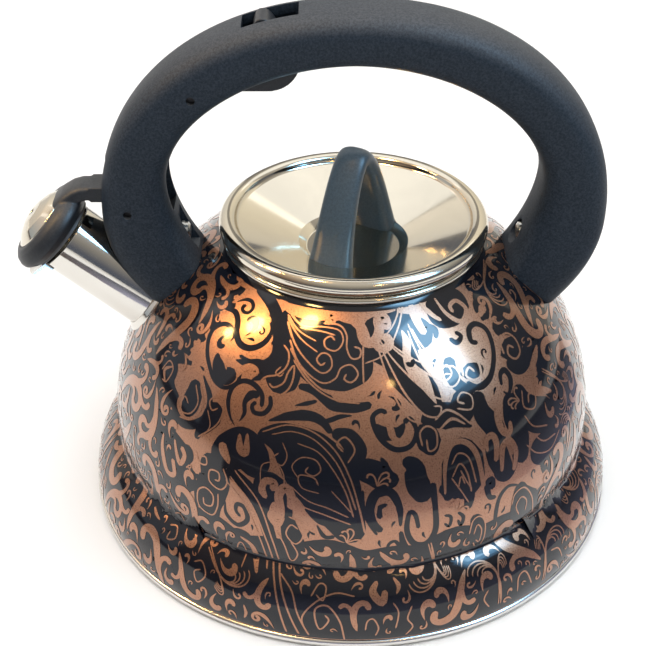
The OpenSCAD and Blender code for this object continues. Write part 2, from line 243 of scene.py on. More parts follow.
def at_mouth(obj):
    """Moves a piece built about Z to the mouth, with +Z out along the spout and +X up square to it."""
    y = np.cross(SPOUT_DIR, SPOUT_UP)
    rows = [(SPOUT_UP[k], y[k], SPOUT_DIR[k], MOUTH[k] * MM) for k in range(3)]
    obj.data.transform(Matrix((*rows, (0, 0, 0, 1))))
    return obj


def arc_points(p, q, sag, steps):
    """An arc from p to q that bulges by sag to the right of the way from p to q."""
    p, q = np.array(p, float), np.array(q, float)
    chord = np.linalg.norm(q - p)
    r = (chord ** 2 / 4 + sag ** 2) / (2 * sag)
    d = (q - p) / chord
    out = np.array([d[1], -d[0]])
    a = np.linspace(-1, 1, steps + 1) * math.asin(chord / 2 / r)
    return (p + q) / 2 - out * (r - sag) + r * (np.cos(a)[:, None] * out + np.sin(a)[:, None] * d)


# ---------------------------------------------------------------- materials

class Nodes:
    """Short calls for building one material's node tree."""

    def __init__(self, name):
        self.mat = bpy.data.materials.new(name)
        self.mat.use_nodes = True
        self.tree = self.mat.node_tree
        self.bsdf = self.tree.nodes["Principled BSDF"]
        self.coord = self.tree.nodes.new("ShaderNodeTexCoord").outputs["Object"]

    def node(self, kind, **inputs):
        n = self.tree.nodes.new("ShaderNode" + kind)
        for key, value in inputs.items():
            self.give(n.inputs[key.replace("_", " ")], value)
        return n

    def give(self, socket, value):
        if isinstance(value, bpy.types.NodeSocket):
            self.tree.links.new(value, socket)
        else:
            socket.default_value = value

    def set(self, **inputs):
        for key, value in inputs.items():
            self.give(self.bsdf.inputs[key.replace("_", " ")], value)
        return self

    def stretch(self, sx, sy, sz):
        m = self.node("Mapping", Scale=(sx, sy, sz))
        self.give(m.inputs["Vector"], self.coord)
        return m.outputs["Vector"]

    def noise(self, scale, detail=4.0, rough=0.55, vector=None, distortion=0.0):
        return self.node("TexNoise", Vector=vector or self.coord, Scale=scale, Detail=detail, Roughness=rough,
                         Distortion=distortion).outputs["Fac"]

    def ramp(self, fac, *stops):
        """Values or colours at places between 0 and 1 of fac."""
        n = self.node("ValToRGB", Fac=fac)
        e = n.color_ramp.elements
        while len(e) < len(stops):
            e.new(0.5)
        for el, (place, value) in zip(e, stops):
            el.position = place
            el.color = (value, value, value, 1) if np.isscalar(value) else (*value, 1)
        return n.outputs["Color"]

    def mix(self, fac, a, b):
        n = self.tree.nodes.new("ShaderNodeMix")
        n.data_type = "RGBA"
        for socket, value in ((n.inputs[0], fac), (n.inputs[6], a), (n.inputs[7], b)):
            self.give(socket, (*value, 1) if isinstance(value, tuple) and len(value) == 3 else value)
        return n.outputs[2]

    def times(self, a, b, operation="MULTIPLY"):
        n = self.tree.nodes.new("ShaderNodeMath")
        n.operation = operation
        self.give(n.inputs[0], a)
        self.give(n.inputs[1], b)
        return n.outputs[0]

    def bump(self, height, strength, distance_mm, after=None):
        n = self.node("Bump", Height=height, Strength=strength, Distance=distance_mm * MM)
        if after:
            self.give(n.inputs["Normal"], after)
        return n.outputs["Normal"]


def enamel():
    m = Nodes("enamel_black")
    peel = m.noise(260, 2, 0.4)
    dust_and_top_light = m.ramp(m.noise(900, 3, 0.7), (0.60, 0.0), (0.78, 1.0))
    base = m.mix(m.noise(30, 3), (0.0035, 0.0045, 0.0085), (0.0065, 0.0075, 0.0125))
    m.set(Base_Color=m.mix(m.times(dust_and_top_light, 0.05), base, (0.10, 0.10, 0.10)), IOR=1.5,
          Roughness=m.ramp(m.noise(70, 5), (0.3, 0.05), (0.75, 0.12)), Normal=m.bump(peel, 0.05, 0.12))
    m.bsdf.inputs["Specular IOR Level"].default_value = 0.1
    m.bsdf.inputs["Coat Weight"].default_value = 1.0
    m.bsdf.inputs["Coat Roughness"].default_value = 0.075
    m.bsdf.inputs["Coat IOR"].default_value = 1.43
    return m.mat


def copper_ink():
    m = Nodes("copper_print")
    grain = m.noise(2600, 2, 0.6)
    cloud = m.noise(45, 4)
    tone = m.mix(cloud, (0.30, 0.138, 0.080), (0.40, 0.19, 0.110))
    colour = m.mix(m.ramp(grain, (0.35, 0.0), (0.7, 1.0)), tone, (0.47, 0.235, 0.14))
    m.set(Base_Color=colour, IOR=1.5, Roughness=m.ramp(grain, (0.3, 0.25), (0.7, 0.36)),
          Normal=m.bump(grain, 0.12, 0.02))
    m.bsdf.inputs["Metallic"].default_value = 0.85
    m.bsdf.inputs["Coat Weight"].default_value = 1.0
    m.bsdf.inputs["Coat Roughness"].default_value = 0.075
    m.bsdf.inputs["Coat IOR"].default_value = 1.43
    return m.mat


def steel(name, tint, rough, scratch=0.06, stretch=(1, 1, 1), bump=0.04):
    """Polished stainless steel: fine random scratches, faint smears and a slow wave in the sheet."""
    m = Nodes(name)
    fine = m.noise(1400, 2, 0.7, m.stretch(*stretch))
    smear = m.noise(28, 5, 0.6, distortion=0.6)
    rgh = m.mix(m.ramp(smear, (0.35, 0.0), (0.75, 1.0)), (rough, rough, rough), (rough + scratch,) * 3)
    m.set(Base_Color=m.mix(m.ramp(smear, (0.3, 0.0), (0.8, 1.0)), tint, tuple(c * 0.90 for c in tint)),
          Roughness=m.times(rgh, m.ramp(fine, (0.3, 0.7), (0.7, 1.3))),
          Normal=m.bump(fine, bump, 0.02, m.bump(m.noise(22, 1, 0.3), 0.05, 0.6)))
    m.bsdf.inputs["Metallic"].default_value = 1.0
    return m.mat


def nylon(name, dark, light, rough=(0.42, 0.6), grain=0.35, shine=0.4, dust_and_top_light=0.0):
    """Moulded nylon with a fine spark-eroded texture, uneven polish, and a painted lighter tone on faces that
    look up, for light from above.
    """
    m = Nodes(name)
    pits = m.noise(1500, 3, 0.65)
    slow = m.noise(16, 4)
    speck = m.ramp(m.noise(1150, 2, 0.8), (0.36, 0.0), (0.64, 1.0))
    m.bsdf.inputs["Specular IOR Level"].default_value = shine
    up = m.node("SeparateXYZ", Vector=m.tree.nodes["Texture Coordinate"].outputs["Normal"]).outputs["Z"]
    # Painted top light: faces that look up are mixed toward a lighter grey, flecked by specks, as if lit from
    # above
    painted_top_light = m.times(m.ramp(up, (0.25, 0.0), (0.9, dust_and_top_light)), m.ramp(speck, (0.0, 0.6), (1.0, 1.0)))
    tone = m.mix(m.times(m.times(slow, 0.4), m.times(speck, 0.6), "ADD"), dark, light)
    m.set(Base_Color=m.mix(painted_top_light, tone, (0.17, 0.165, 0.16)), IOR=1.5,
          Roughness=m.ramp(m.times(m.times(slow, 0.7), m.times(pits, 0.3), "ADD"),
                           (0.35, rough[0]), (0.65, rough[1])),
          Normal=m.bump(pits, grain, 0.05, m.bump(m.noise(260, 3), 0.08, 0.08)))
    return m.mat


def plain(name, tint, metallic, rough, scale=700, bump=0.1):
    m = Nodes(name)
    n = m.noise(scale, 4)
    m.set(Base_Color=m.mix(n, tuple(c * 0.82 for c in tint), tint), Normal=m.bump(n, bump, 0.04),
          Roughness=m.ramp(n, (0.3, rough * 0.8), (0.7, min(1, rough * 1.25))))
    m.bsdf.inputs["Metallic"].default_value = metallic
    return m.mat


ENAMEL, COPPER = enamel(), copper_ink()
# This steel is tinted toward gold: partly the steel's own warm tone, partly a painted warm reflection of the
# lamps
MIRROR = steel("mirror_steel_painted_warm_reflection", (0.73, 0.68, 0.58), 0.09, 0.06)
SPOUT_STEEL = steel("spout_steel", (0.74, 0.72, 0.675), 0.08, 0.05)
RIM_STEEL = steel("rim_steel", (0.78, 0.76, 0.73), 0.16, 0.08, (1, 1, 6))
# The last number for the handle and the cap sets their painted lighter tone on faces that look up
GRIP = nylon("handle_nylon", (0.006, 0.011, 0.018), (0.030, 0.042, 0.060), (0.46, 0.62), 0.6, 0.15, 0.36)
# The knob's nylon is a lighter, bluer copy of the black nylon: partly its own colour, partly a painted bluish
# highlight
KNOB = nylon("knob_nylon_painted_highlight", (0.042, 0.066, 0.088), (0.076, 0.110, 0.142), (0.28, 0.40), 0.25)
CAP = nylon("cap_nylon", (0.009, 0.012, 0.017), (0.019, 0.023, 0.030), (0.34, 0.50), 0.25, 0.35, 0.2)
ZINC = plain("screw_zinc", (0.62, 0.62, 0.60), 1.0, 0.28)
# The pins are darkened to near black, a painted shade standing for the dark of the pin holes
PIN = plain("pin_steel_painted_shade", (0.05, 0.05, 0.055), 1.0, 0.5)
SPRING = plain("spring_wire", (0.45, 0.45, 0.46), 1.0, 0.3)
CORE = plain("core_aluminium", (0.75, 0.75, 0.76), 1.0, 0.4)
SEAL = plain("seal_silicone", (0.08, 0.08, 0.085), 0.0, 0.6, 400, 0.2)


# ---------------------------------------------------------------- the enamelled body and its print

def dome_radius(z):
    return DOME_R * np.sqrt(np.clip(1 - ((z - DOME_MID) / DOME_RISE) ** 2, 0, 1))


def meridian():
    """Radius, height and arc length from the neck down over the dome and the flared band, crease softened."""
    z = np.linspace(DOME_TOP, CREASE, 420)
    band = arc_points(BAND_FOOT, (dome_radius(CREASE), CREASE), BAND_BULGE, 140)[::-1]
    r, z = np.concatenate([dome_radius(z), band[1:, 0]]), np.concatenate([z, band[1:, 1]])
    s = np.concatenate([[0], np.cumsum(np.hypot(np.diff(r), np.diff(z)))])
    even = np.arange(0, s[-1], 0.25)
    r, z = np.interp(even, s, r), np.interp(even, s, z)
    kernel = np.exp(-np.linspace(-2, 2, 17) ** 2)
    kernel /= kernel.sum()
    soft = lambda v: np.concatenate([v[:8], np.convolve(v, kernel, "valid"), v[-8:]])
    return soft(r), soft(z), even


MR, MZ, MS = meridian()
S_END = float(MS[-1])
NR, NZ = -np.gradient(MZ), np.gradient(MR)
NR, NZ = NR / np.hypot(NR, NZ), NZ / np.hypot(NR, NZ)
DEG = math.pi / 180


def radius_at(s):
    return np.interp(s, MS, MR)


def on_shell(phi, s, lift):
    """Points and normals on the shell at phi degrees from the front, s mm below the neck, lift mm proud."""
    r, z, nr, nz = (np.interp(s, MS, v) for v in (MR, MZ, NR, NZ))
    c, d = np.sin(phi * DEG), -np.cos(phi * DEG)
    normal = np.stack([c * nr, d * nr, nz], -1)
    return np.stack([c * r, d * r, z], -1) + normal * lift, normal


def smooth(points, step):
    """A Catmull-Rom curve through points, sampled evenly."""
    p = np.array(points, float)
    p = np.vstack([2 * p[0] - p[1], p, 2 * p[-1] - p[-2]])
    t = np.linspace(0, 1, 24, endpoint=False)[:, None]
    out = []
    for a, b, c, d in zip(p, p[1:], p[2:], p[3:]):
        square, cube = 2 * a - 5 * b + 4 * c - d, 3 * b - a - 3 * c + d
        out.append((2 * b + (c - a) * t + square * t ** 2 + cube * t ** 3) / 2)
    q = np.vstack(out + [p[-2][None]])
    run = np.concatenate([[0], np.cumsum(np.linalg.norm(np.diff(q, axis=0), axis=1))])
    t = np.linspace(0, run[-1], max(4, int(run[-1] / step) + 1))
    return np.stack([np.interp(t, run, q[:, 0]), np.interp(t, run, q[:, 1])], 1)


def scroll(length, k0, k1, power=2.0, step=0.6):
    """A line from the origin along +X whose curvature, in 1/mm, goes from k0 to k1, as in a drawn curl."""
    n = max(8, int(length / step))
    h = length / (n - 1)
    k = k0 + (k1 - k0) * np.linspace(0, 1, n) ** power
    turn = np.concatenate([[0], np.cumsum((k[1:] + k[:-1]) / 2 * h)])
    mid = (turn[1:] + turn[:-1]) / 2
    return np.stack([np.concatenate([[0], np.cumsum(part(mid) * h)]) for part in (np.cos, np.sin)], 1)


def widths(n, *knots):
    """Widths at n places along a stroke, through evenly spaced values or through (share, width) pairs."""
    k = np.array(knots, float)
    t = np.linspace(0, 1, n)
    return np.interp(t, np.linspace(0, 1, len(k)), k) if k.ndim == 1 else np.interp(t, k[:, 0], k[:, 1])


def stroke_mesh(strokes, lift, creep=0.00004):
    """Verts, normals and faces of strokes laid on the shell, each a ribbon with round ends. Each stroke lies
    creep mm above the one before it, so no two share a surface."""
    verts, normals, faces, count = [], [], [], 0
    for index, (phi_s, w) in enumerate(strokes):
        r = radius_at(np.clip(phi_s[:, 1], 0, S_END)) * DEG
        d = np.gradient(phi_s, axis=0) * np.stack([r, np.ones_like(r)], 1)
        length = np.linalg.norm(d, axis=1)
        run = np.cumsum(length) - length[0]
        d /= length[:, None] + 1e-9
        w = np.array(w, float)
        for away, h in ((run, max(w[0] / 2, 0.15)), (run[-1] - run, max(w[-1] / 2, 0.15))):
            w *= np.sqrt(np.clip(1 - (1 - np.minimum(1, away / h)) ** 2, 0, 1))
        w = np.maximum(w, 0.02)
        across = max(1, int(math.ceil(w.max() / 2.4)))
        side = np.linspace(-0.5, 0.5, across + 1)
        phi = phi_s[:, :1] - d[:, 1:] / r[:, None] * w[:, None] * side
        s = phi_s[:, 1:] + d[:, :1] * w[:, None] * side
        p, n = on_shell(phi, np.clip(s, 0.3, S_END - 0.3), lift + creep * index)
        m = across + 1
        verts.append(p.reshape(-1, 3))
        normals.append(n.reshape(-1, 3))
        i, j = np.meshgrid(np.arange(len(w) - 1), np.arange(across), indexing="ij")
        a = (count + i * m + j).ravel()
        faces.append(np.stack([a, a + 1, a + m + 1, a + m], 1))
        count += len(w) * m
    return np.vstack(verts), np.vstack(normals), np.vstack(faces)


def print_layer(name, verts, normals, faces, material, slot):
    """A thin printed layer with the shell's own normals; faces under the spout's collar are left out."""
    centre = verts[faces].mean(1)
    along = (centre - MOUTH) @ SPOUT_DIR
    off = np.linalg.norm(centre - MOUTH - along[:, None] * SPOUT_DIR, axis=1)
    keep = (off > SPOUT_R + 0.6) | (centre[:, 0] > 0)
    a, b, c = verts[faces[:, 0]], verts[faces[:, 1]], verts[faces[:, 2]]
    flip = (np.cross(b - a, c - a) * normals[faces[:, 0]]).sum(1) < 0
    faces = np.where(flip[:, None], faces[:, ::-1], faces)[keep]
    obj = mesh_object(name, verts, faces, 0)
    obj.data.normals_split_custom_set_from_vertices(normals.tolist())
    return finish_piece(obj, "kettle", material, slot)


def printed_pattern():
    """The copper ground over the whole shell, and the layers of strokes on it."""
    phi = np.linspace(-180, 180, 361)
    s = np.concatenate([np.arange(0.6, S_END - 0.5, 1.3), [S_END - 0.4]])
    grid = np.meshgrid(phi, s, indexing="ij")
    verts, normals = on_shell(grid[0], grid[1], 0.05)
    n = len(s)
    i, j = np.meshgrid(np.arange(len(phi) - 1), np.arange(n - 1), indexing="ij")
    a = (i * n + j).ravel()
    faces = np.stack([a, a + 1, a + n + 1, a + n], 1)
    print_layer("print_ground", verts.reshape(-1, 3), normals.reshape(-1, 3), faces, COPPER, "enamel")
    strokes = pattern()
    for ink, name, lift, material in (("k", "print_black", 0.09, ENAMEL), ("cf", "print_lines", 0.17, COPPER),
                                      ("K", "print_eyes", 0.25, ENAMEL)):
        chosen = [(q, w) for i, q, w in strokes if i in ink]
        print_layer(name, *stroke_mesh(chosen, lift), material, "enamel")


# Strokes listed one by one: ink, widths along the stroke, and (degrees from the front, mm below the neck)
# points
HERO = [
    # golden scroll, upper left
    ("k", (.3, 2.2, 2.5, 2.5, 2.2, 1.0),
     "-53 14 -49 12.5 -45.5 12 -42.5 14.5 -40.5 18.5 -37.5 21.5 -33.5 21.5 -30 18 -29 13 -31 9.5"),
    ("k", (.3, 1.5, .9), "-33 7.5 -30 8.5 -28 11.5 -27 15 -27.3 18"),
    ("k", (.4, 1.8, 2.0, 1.8, 1.7, 1.6, 1.6, 1.4),
     "-41 22.5 -40.8 20 -43 17.7 -46.5 17.8 -49 21 -48.8 25 -46.5 30 -43.5 34 -40 37.7 -36.2 38.4 -33.3 "
     "35 -33.3 31"),
    ("k", (1.2, 4.5, 6.5, 7.5, 5), "-43 28.2 -41.8 31 -39 34.3 -36.6 33.5 -35.6 30.7"),
    ("c", (.7, 1.3, .3), "-39.5 26.5 -39.3 29.5 -37.8 32.3"),
    ("k", (4, 4.5, 4.5, 5, 6.5, 5, 3, 1),
     "-44 -1 -37 1.5 -31.5 5 -27.5 10 -24.8 15 -24.3 21 -27 25.3 -32 26.3 -36 25.3"),
    ("k", (.3, 1.8, 2.6, 2), "-55.8 22.5 -53.5 21.3 -51.6 22.3 -52 25 -53.8 25.3"),
    ("k", (.4, 1.6, 1.5, 1.3, 1.8),
     "-48 8.5 -45 5.8 -42 5.6 -40.2 7.5 -40.8 9.9 -43 10.2 -44.3 8.8 -43 7.8"),
    ("k", (1.6, 2.0, 1.8, 1.8, .3),
     "-24.5 40.5 -25.3 36 -28.5 33.3 -31.8 33.6 -34 37 -34 42 -32.3 47 -30.3 50"),
    ("k", (2.4, 3.2, 1.8, 1.6, .3), "-25.8 36.8 -28 37 -29.3 40.5 -28.6 44.3 -29.4 48"),
    ("k", (1.5, 1.9, 1.7, 1.5), "-23 35.5 -22.3 39 -23.5 42.3 -26 43 -27.1 41 -26.2 39"),
    ("k", (.4, 3.2, 5, 3.5, .5), "-36.5 27.5 -32 27 -28.3 26.5 -26.5 29 -29.5 32.3"),
    ("c", (1, 2.6, 2.4, 2.6), "-34 33.3 -33 29.5 -31 27.8 -29 28.6 -29.2 30.4"),
    # plume field under the neck
    ("k", (4, 12, 20, 26, 25, 20), "-28 4 -22 9 -15 14 -8 17 0 18 5 17"),
    ("f", (.9, .6, .5), "-26 5 -20 10 -13 13"), ("f", (.9, .6, .5), "-25.5 6 -19 12.5 -12 17"),
    ("f", (.9, .7, .6, .6, .7),
     "-25 4.5 -19 8 -12 7.2 -6 8 -4.3 12 -6.3 15.7 -9.6 15 -10.5 12.2 -8.6 10.5 -7 12"),
    ("f", (.8, .6, .6, .7), "-20 8.8 -12 9 -7 10"),
    ("f", (.9, .7, .6, .6, .7),
     "-25 7.5 -20 15 -15 20.5 -10 24.3 -7.3 22 -8 18 -10.5 17 -12 19.5 -10.5 21.5 -9.2 20.3"),
    ("f", (.8, .6, .6, .6, .7),
     "-22 14 -17 22 -10 27.7 -6 26 -4.5 22 -1.5 20.8 .5 24 -1.3 27 -3.4 26 -2.8 24"),
    ("f", (.8, .7, .6), "-21 17 -14.5 25.5 -8 31 0 33 4 31"),
    ("f", (.7, .6, .5), "-19 21 -13 28.3 -6 33.3 1 34.6"),
    ("f", (.8, .6, .7), "-12 5.8 -6 6 -3.3 9.5 -3 14.5 -1.5 18.3 1 18 1.3 15 -.8 14"),
    ("c", (1.5, 3, 3.2, 2.5, 2.4), "-32 -1 -27 2.5 -22 3.6 -14 3.8 -9.5 2 -8.5 4.5 -11.5 5.2"),
    # paisley with fine lines
    ("k", (1.5, 7, 12, 13.5, 9), "-22.5 13.5 -21.3 20 -20.8 26 -21.8 31 -22.5 34"),
    ("f", (.7, .7),
     "-23.4 16.5 -21 19 -20.4 23.5 -22.4 27.5 -25.6 29.5 -26.5 32 -24.4 34.5 -21 35 -18.5 32 -17.8 27.5 "
     "-18.4 23.2 -19.6 26 -20.2 30 -22.6 32.4 -24.3 31.3"),
    ("f", (.6, .5), "-22 24.4 -23.2 27 -21.6 28 -20.8 26.2"),
    # branch across the middle
    ("k", (2, 3.6, 4.4, 3.4, 3.8, 2.5), "-16 30 -11.5 30.6 -8.3 33 -5.5 35.8 0 36 4 35"),
    ("k", (.4, 1.7, 1.2), "-16 37.2 -13 35.8 -10.2 34.4"),
    ("k", (.4, 1.9, 1.7, .4), "-9.6 41 -7 41 -4.2 39.4 -1 38.8"),
    ("k", (.6, 3.0, 4.0, 3.4, 2), "-22 44.5 -17 41.3 -12 40 -8.5 41.5 -6 45.5"),
    # dark plume, centre
    ("k", (3, 13, 22, 26, 22, 15, 9), "-24 50 -18 50 -12 55 -7.5 62 -4.5 71 -2 80 0 88"),
    ("f", (.5, .55, .6, .8), "-23 49 -17 44.5 -10.5 45.5 -5 51.5 -1.5 61 .5 72 2 84"),
    ("f", (.4, .5, .7), "-20.5 49 -15.5 46.5 -10 48.3 -5 55 -2 64 0 74"),
    ("f", (.4, .5, .7), "-14 50.3 -9 52.5 -5.3 58.5 -2.3 67 -.5 77"),
    ("f", (.4, .5, .6), "-17.5 51 -16 55.5 -17 59.5 -19.3 57.5 -18 55"),
    ("f", (.4, .5, .5), "-13 63 -14.6 59 -12.6 55.3 -9.3 55.6 -8 59 -9.5 61.5 -11.4 60.3 -10.8 58.3"),
    ("f", (.4, .5, .6), "-8 68 -12 66.5 -12.8 62 -9.5 62.2 -8.3 65"),
    ("f", (.4, .6), "-21.5 68 -21.6 61 -18.5 59 -16.4 62.5 -15.5 68.5 -12 73.5 -6.5 76.5 -1 80"),
    ("f", (.4, .6), "-14.5 66.5 -10.5 71.3 -6 73.6 -1.5 77"), ("f", (.4, .5), "-5.5 66.5 -3 71 -1 75"),
    ("c", (1.6, 3, 2.6, 2.8, 3.2, 2.4), "-19.8 73.5 -21 70 -20.3 66.6 -18.3 66.8 -18.6 70"),
    ("c", (1.6, 3.2, 3.4, 3.2), "-17.8 74 -18.3 78 -16.8 82.5 -16.4 77 -17 71 -15.7 67.5 -14.3 70 -14 76"),
    ("c", (1, 3.3, 2.6, 1), "-28.5 52 -27.5 57.5 -26 58 -26.5 51"),
    ("c", (1, 3, 3.4), "-29.5 63.5 -31.8 59.5 -32.3 57.3"),
    # left paisley and its neighbours
    ("k", (.6, 2.2, 3.0, 3.6, 3.4, 3, 2.4),
     "-44 38 -39.5 44 -38.6 51 -41.5 56.5 -45.5 58.3 -49 55 -50 49.5"),
    ("k", (3.5, 8, 9, 7), "-46 41 -44.5 46 -44.8 51 -46.8 53.5"),
    ("f", (.6, .6), "-45 42.5 -42.3 48 -43.5 53.3 -47 54.6 -48.6 51.5 -46.8 48.8 -45 50.5"),
    ("f", (.6, .6), "-43.6 41.5 -40.6 48 -42.3 54.8 -46.5 57"),
    ("k", (6, 8.5, 6, 2), "-36.8 44.5 -37 50 -38.8 56 -40 61"),
    ("f", (.6, .6), "-39.4 60 -35 52 -34.6 45 -36.8 42.3 -39 45 -37.6 48 -36 46.3"),
    ("f", (.5, .5), "-38.8 60.5 -36.8 54 -38.8 48.5"),
    ("k", (4, 8, 7, 3), "-54.5 39 -56.8 43 -57 48 -54.5 52"),
    ("c", (.4, 1.6, .8), "-55 42.5 -57.5 46 -55.5 49.5"),
    ("k", (.5, 2.3, 2, 1.8), "-62 57.5 -58.5 54.3 -54.5 56.3 -52 61.5 -52.5 67"),
    ("k", (1, 3.2, 2), "-59.5 64 -57.3 61.5 -58.8 59.4"),
    ("k", (.5, 2.2, 2.4, .6), "-49.5 54.7 -51.3 57.3 -50 61.5 -48 63"),
    # right of centre: hooks in the dark
    ("k", (6, 20, 24, 16, 8), "4 4 10 10 15 12 21 12 25 16"),
    ("c", (3, 4.5, 3.5, 3.6, 3.2), "-1.5 4 1.6 6.5 3.2 12 6 12.2 8.2 8 8.2 4.2 10.4 3 11.3 6 9.5 7.7"),
    ("c", (2.4, 3, 3.4, 2.8), "6 12 7.5 15 10.6 14.4 10.6 11.3 8.6 11"),
    ("f", (.7, .6, .5), "19.5 -1 15 8 9 17 2.5 20.3"), ("f", (.7, .6, .5), "18.3 -1 14 6 9.5 11"),
    ("f", (.7, .6), "2.3 13.5 2 20.3 2 27.5"),
    ("f", (.5, .8, .6), "18.8 7 19.8 14 21.8 22 26 25.5 29 27 29.6 31 27 33.6 24.3 31.8 25.3 28.6 27.3 29"),
    ("f", (.5, .7, .6), "19.6 9 20.8 15 23 21"), ("f", (.5, .8, .5), "18 9.5 18.6 17 20 24 22.6 29.5"),
    ("c", (.6, 3.2, 3, 4.4, 5.4, 3, .5), "16 9 16.6 14 15.6 19 16.4 24 18.8 29 20 34 21 38"),
    ("K", (1.4, 2.0, 1.4), "14.8 21.3 16.4 22.4 17.6 20.4"),
    ("k", (1, 3.6, 5.4, 5, 3), "12 24 16.4 29.5 16.6 34.8 20 39 25.5 40.5"),
    ("c", (1, 3.8, 3.2, 2.6), "22.5 -1 22.6 7 23.6 12.6"),
    ("k", (1.6, 2.3, 2.6, 1.6), "23.8 12 25 9.6 27.6 11.8 26.8 15.3"),
    ("k", (9, 17, 15, 9), "29 1 34.5 4.8 40.3 5.6 45 9"), ("c", (.8, 2, 1.3), "26.5 0 29 6 31.6 9.5"),
    ("c", (.7, 1.8, 1.8, 1.5), "33.5 0 34.6 7.5 38.4 12.5 43 9.3 41.6 4.8 37.8 5.4 37.4 8.4"),
    ("k", (1.6, 2.2, 1.8, 1.6), "31.2 16.5 33 19 35.5 17.4 34 15"),
    ("k", (1.8, 2.3, 2.1, 2, 2, 2.2, 2.8, 1.5),
     "40 22.3 38 20.6 39.5 16.4 43 15.8 45.4 19.5 44.4 25.5 41.6 31.5 38 36 33.8 37 31 33.6"),
    ("k", (8, 12, 8), "33.5 27.5 33.6 31 33 34"),
    ("c", (.9, 1, .9),
     "30.6 31.6 31.6 26.8 34.8 25.3 36.8 28.6 36 33.4 33.4 34 31.6 31.4 33.3 29 34.6 31.4"),
    ("k", (4, 6, 4.5, 2), "29 23 27.6 27 28.3 33.5 33 37.8"),
    ("f", (.7, .6, .7), "26 41.5 30 43.4 31 39 28.6 36.6 26.8 39 28.6 40.8"),
    ("k", (1.2, 2.4, 2.2, .5), "41 40.5 42 36.6 44 36 44.6 40 42.3 44.3 40.6 42.5"),
    # upper right
    ("k", (1.4, 3.2, 3.4, 3, 1.6), "46 12.8 48.5 9.5 52.5 9.8 54.5 12.6 52 16.4 49.6 14"),
    ("k", (6, 6.5, 4), "47.8 20.6 49.6 21.6 51 22.6"),
    ("k", (2.8, 2.2, 2.2, 3), "55.5 5.6 57.6 11.6 61 14 66 16"),
    ("k", (10, 13, 9), "49.5 26.5 49.8 31 49 36"),
    ("f", (.9, .8, .9), "46.4 31 47.6 26 51.2 25 53.3 28.5 52.5 33.6 49.6 35 47.8 32 49.4 29.3 51 31.3"),
    ("k", (1, 2, 1.8, 1.5, 1.6), "52.6 20.6 55.3 17.6 58.6 19.5 58.8 23 56 26 52.6 25.6"),
    ("k", (4, 6, 5, 3, 1.5), "46 33.6 48.6 38 53 37.6 57.6 32 62 24.6"),
    # lower left
    ("k", (8, 14, 14, 6), "-36 64 -33 72 -34 82 -33 92"),
    ("f", (.6, .7), "-39 65.5 -37.5 69 -35.5 68.5 -36 65.8 -37.6 66.5"),
    ("f", (.6, .7), "-31 67 -29.5 72 -31 76 -34 74.5 -34.3 70 -32 69.5 -31.6 72.5 -32.8 73"),
    ("f", (.6, .7),
     "-31.5 78 -31.5 84 -33 89 -36.5 87.5 -37 81 -35 78 -32.8 80 -33 84.5 -35 85.5 -35.4 82.5"),
    ("k", (5, 6, 5, 9, 20), "-30 66 -22 75 -18 95 -17 110 -12 130"),
    ("f", (.6, .8), "-29 69 -23 78 -19.5 92 -17.5 106 -13.5 130"),
    ("f", (.6, .8), "-28 66 -21.5 76 -18 92 -15.5 110 -11 130"),
    ("f", (.5, .7), "-30 71 -24.5 79 -21 92 -19 106"),
    ("k", (5, 8, 9, 8), "-15 79 -14 86 -12.5 95 -10.5 103"),
    ("f", (.6, .6), "-17 87 -15.5 92 -14 100 -12.5 96 -14 90"),
    ("f", (.6, .6), "-14.6 79 -12 81 -11.3 87 -13 91 -15 87 -14 82.5 -12.3 84"),
    ("k", (14, 18, 20, 20), "-13 104 -9 108 -5 116 -2 126"),
    ("f", (.6, .6), "-9 113 -7.5 108 -6 109 -6.5 114 -8 112"),
    ("f", (.7, .7), "-2 131 -3 122 -5.5 116 -8 118 -7 126 -5.2 122 -6 119.5"),
    ("f", (.6, .7), "0 112 -4 111 -8 115 -10.5 122 -9 130"),
    ("f", (.6, .7), "-16 106 -13 112 -11.5 120 -9 130"), ("k", (5, 9, 9, 7), "-56 68 -50 74 -44 72 -40 66"),
    ("c", (1, 2.4, 2.2, 2), "-50 67 -49.5 73 -47 81 -44.5 80 -45.5 74"),
    ("c", (1, 2.2, 2), "-46 66 -44.5 71 -43 74 -42 70 -43.5 67"),
    ("k", (1.2, 3.6, 5, 4, .6), "-40.5 95 -40.8 89 -43 83.5 -45.6 84.6 -44.5 88"),
    ("k", (.5, 1.6, 1.8, 1.6, .6), "-43 72.5 -41 71.6 -38.5 76 -37.5 84 -37 95 -35.5 104"),
    ("k", (1, 2, 1.8, 1.6), "-48 82 -46.5 79.2 -42 79.6 -40 84 -39.5 92"),
    ("k", (1.2, 1.8, 2, 2, 1.8, .5),
     "-25.6 84.6 -26.8 82.5 -26.6 79.5 -24.8 80 -24 85 -26.4 88.8 -29.2 85.5 -29.6 80"),
    ("k", (1.2, 3.4, 4, 6, 8.5, 8, 5), "-20.6 108 -21.5 100 -24.5 93 -27.5 95 -28 103 -26 110 -22.6 114"),
    ("c", (.8, 2, 2.4, 1), "-25.8 94 -23 97 -21.8 104 -21 108.5"),
    ("f", (.6, .5), "-27 104 -26.5 99 -25.5 97 -24.5 101 -24.6 108"),
    ("k", (1.6, 2, 1.6, 1), "-31.4 96.5 -30 98.5 -30.8 102.5 -32.5 100"),
    ("k", (.4, 2.4, 3.4, 3.2, 2.6), "-36 101 -34 105 -31.8 109.5 -29.5 107.5 -29 104"),
    ("k", (3, 5, 3), "-40.5 103 -38.6 107 -39.6 110"),
    ("k", (2, 6, 8, 6, 2), "-34.6 109.4 -33.2 113 -32.6 117 -33.6 121 -36.4 123"),
    ("f", (.6, .6), "-35.5 113 -33.6 111.5 -32 116 -33.6 120 -34.8 116.5 -33.4 114.6"),
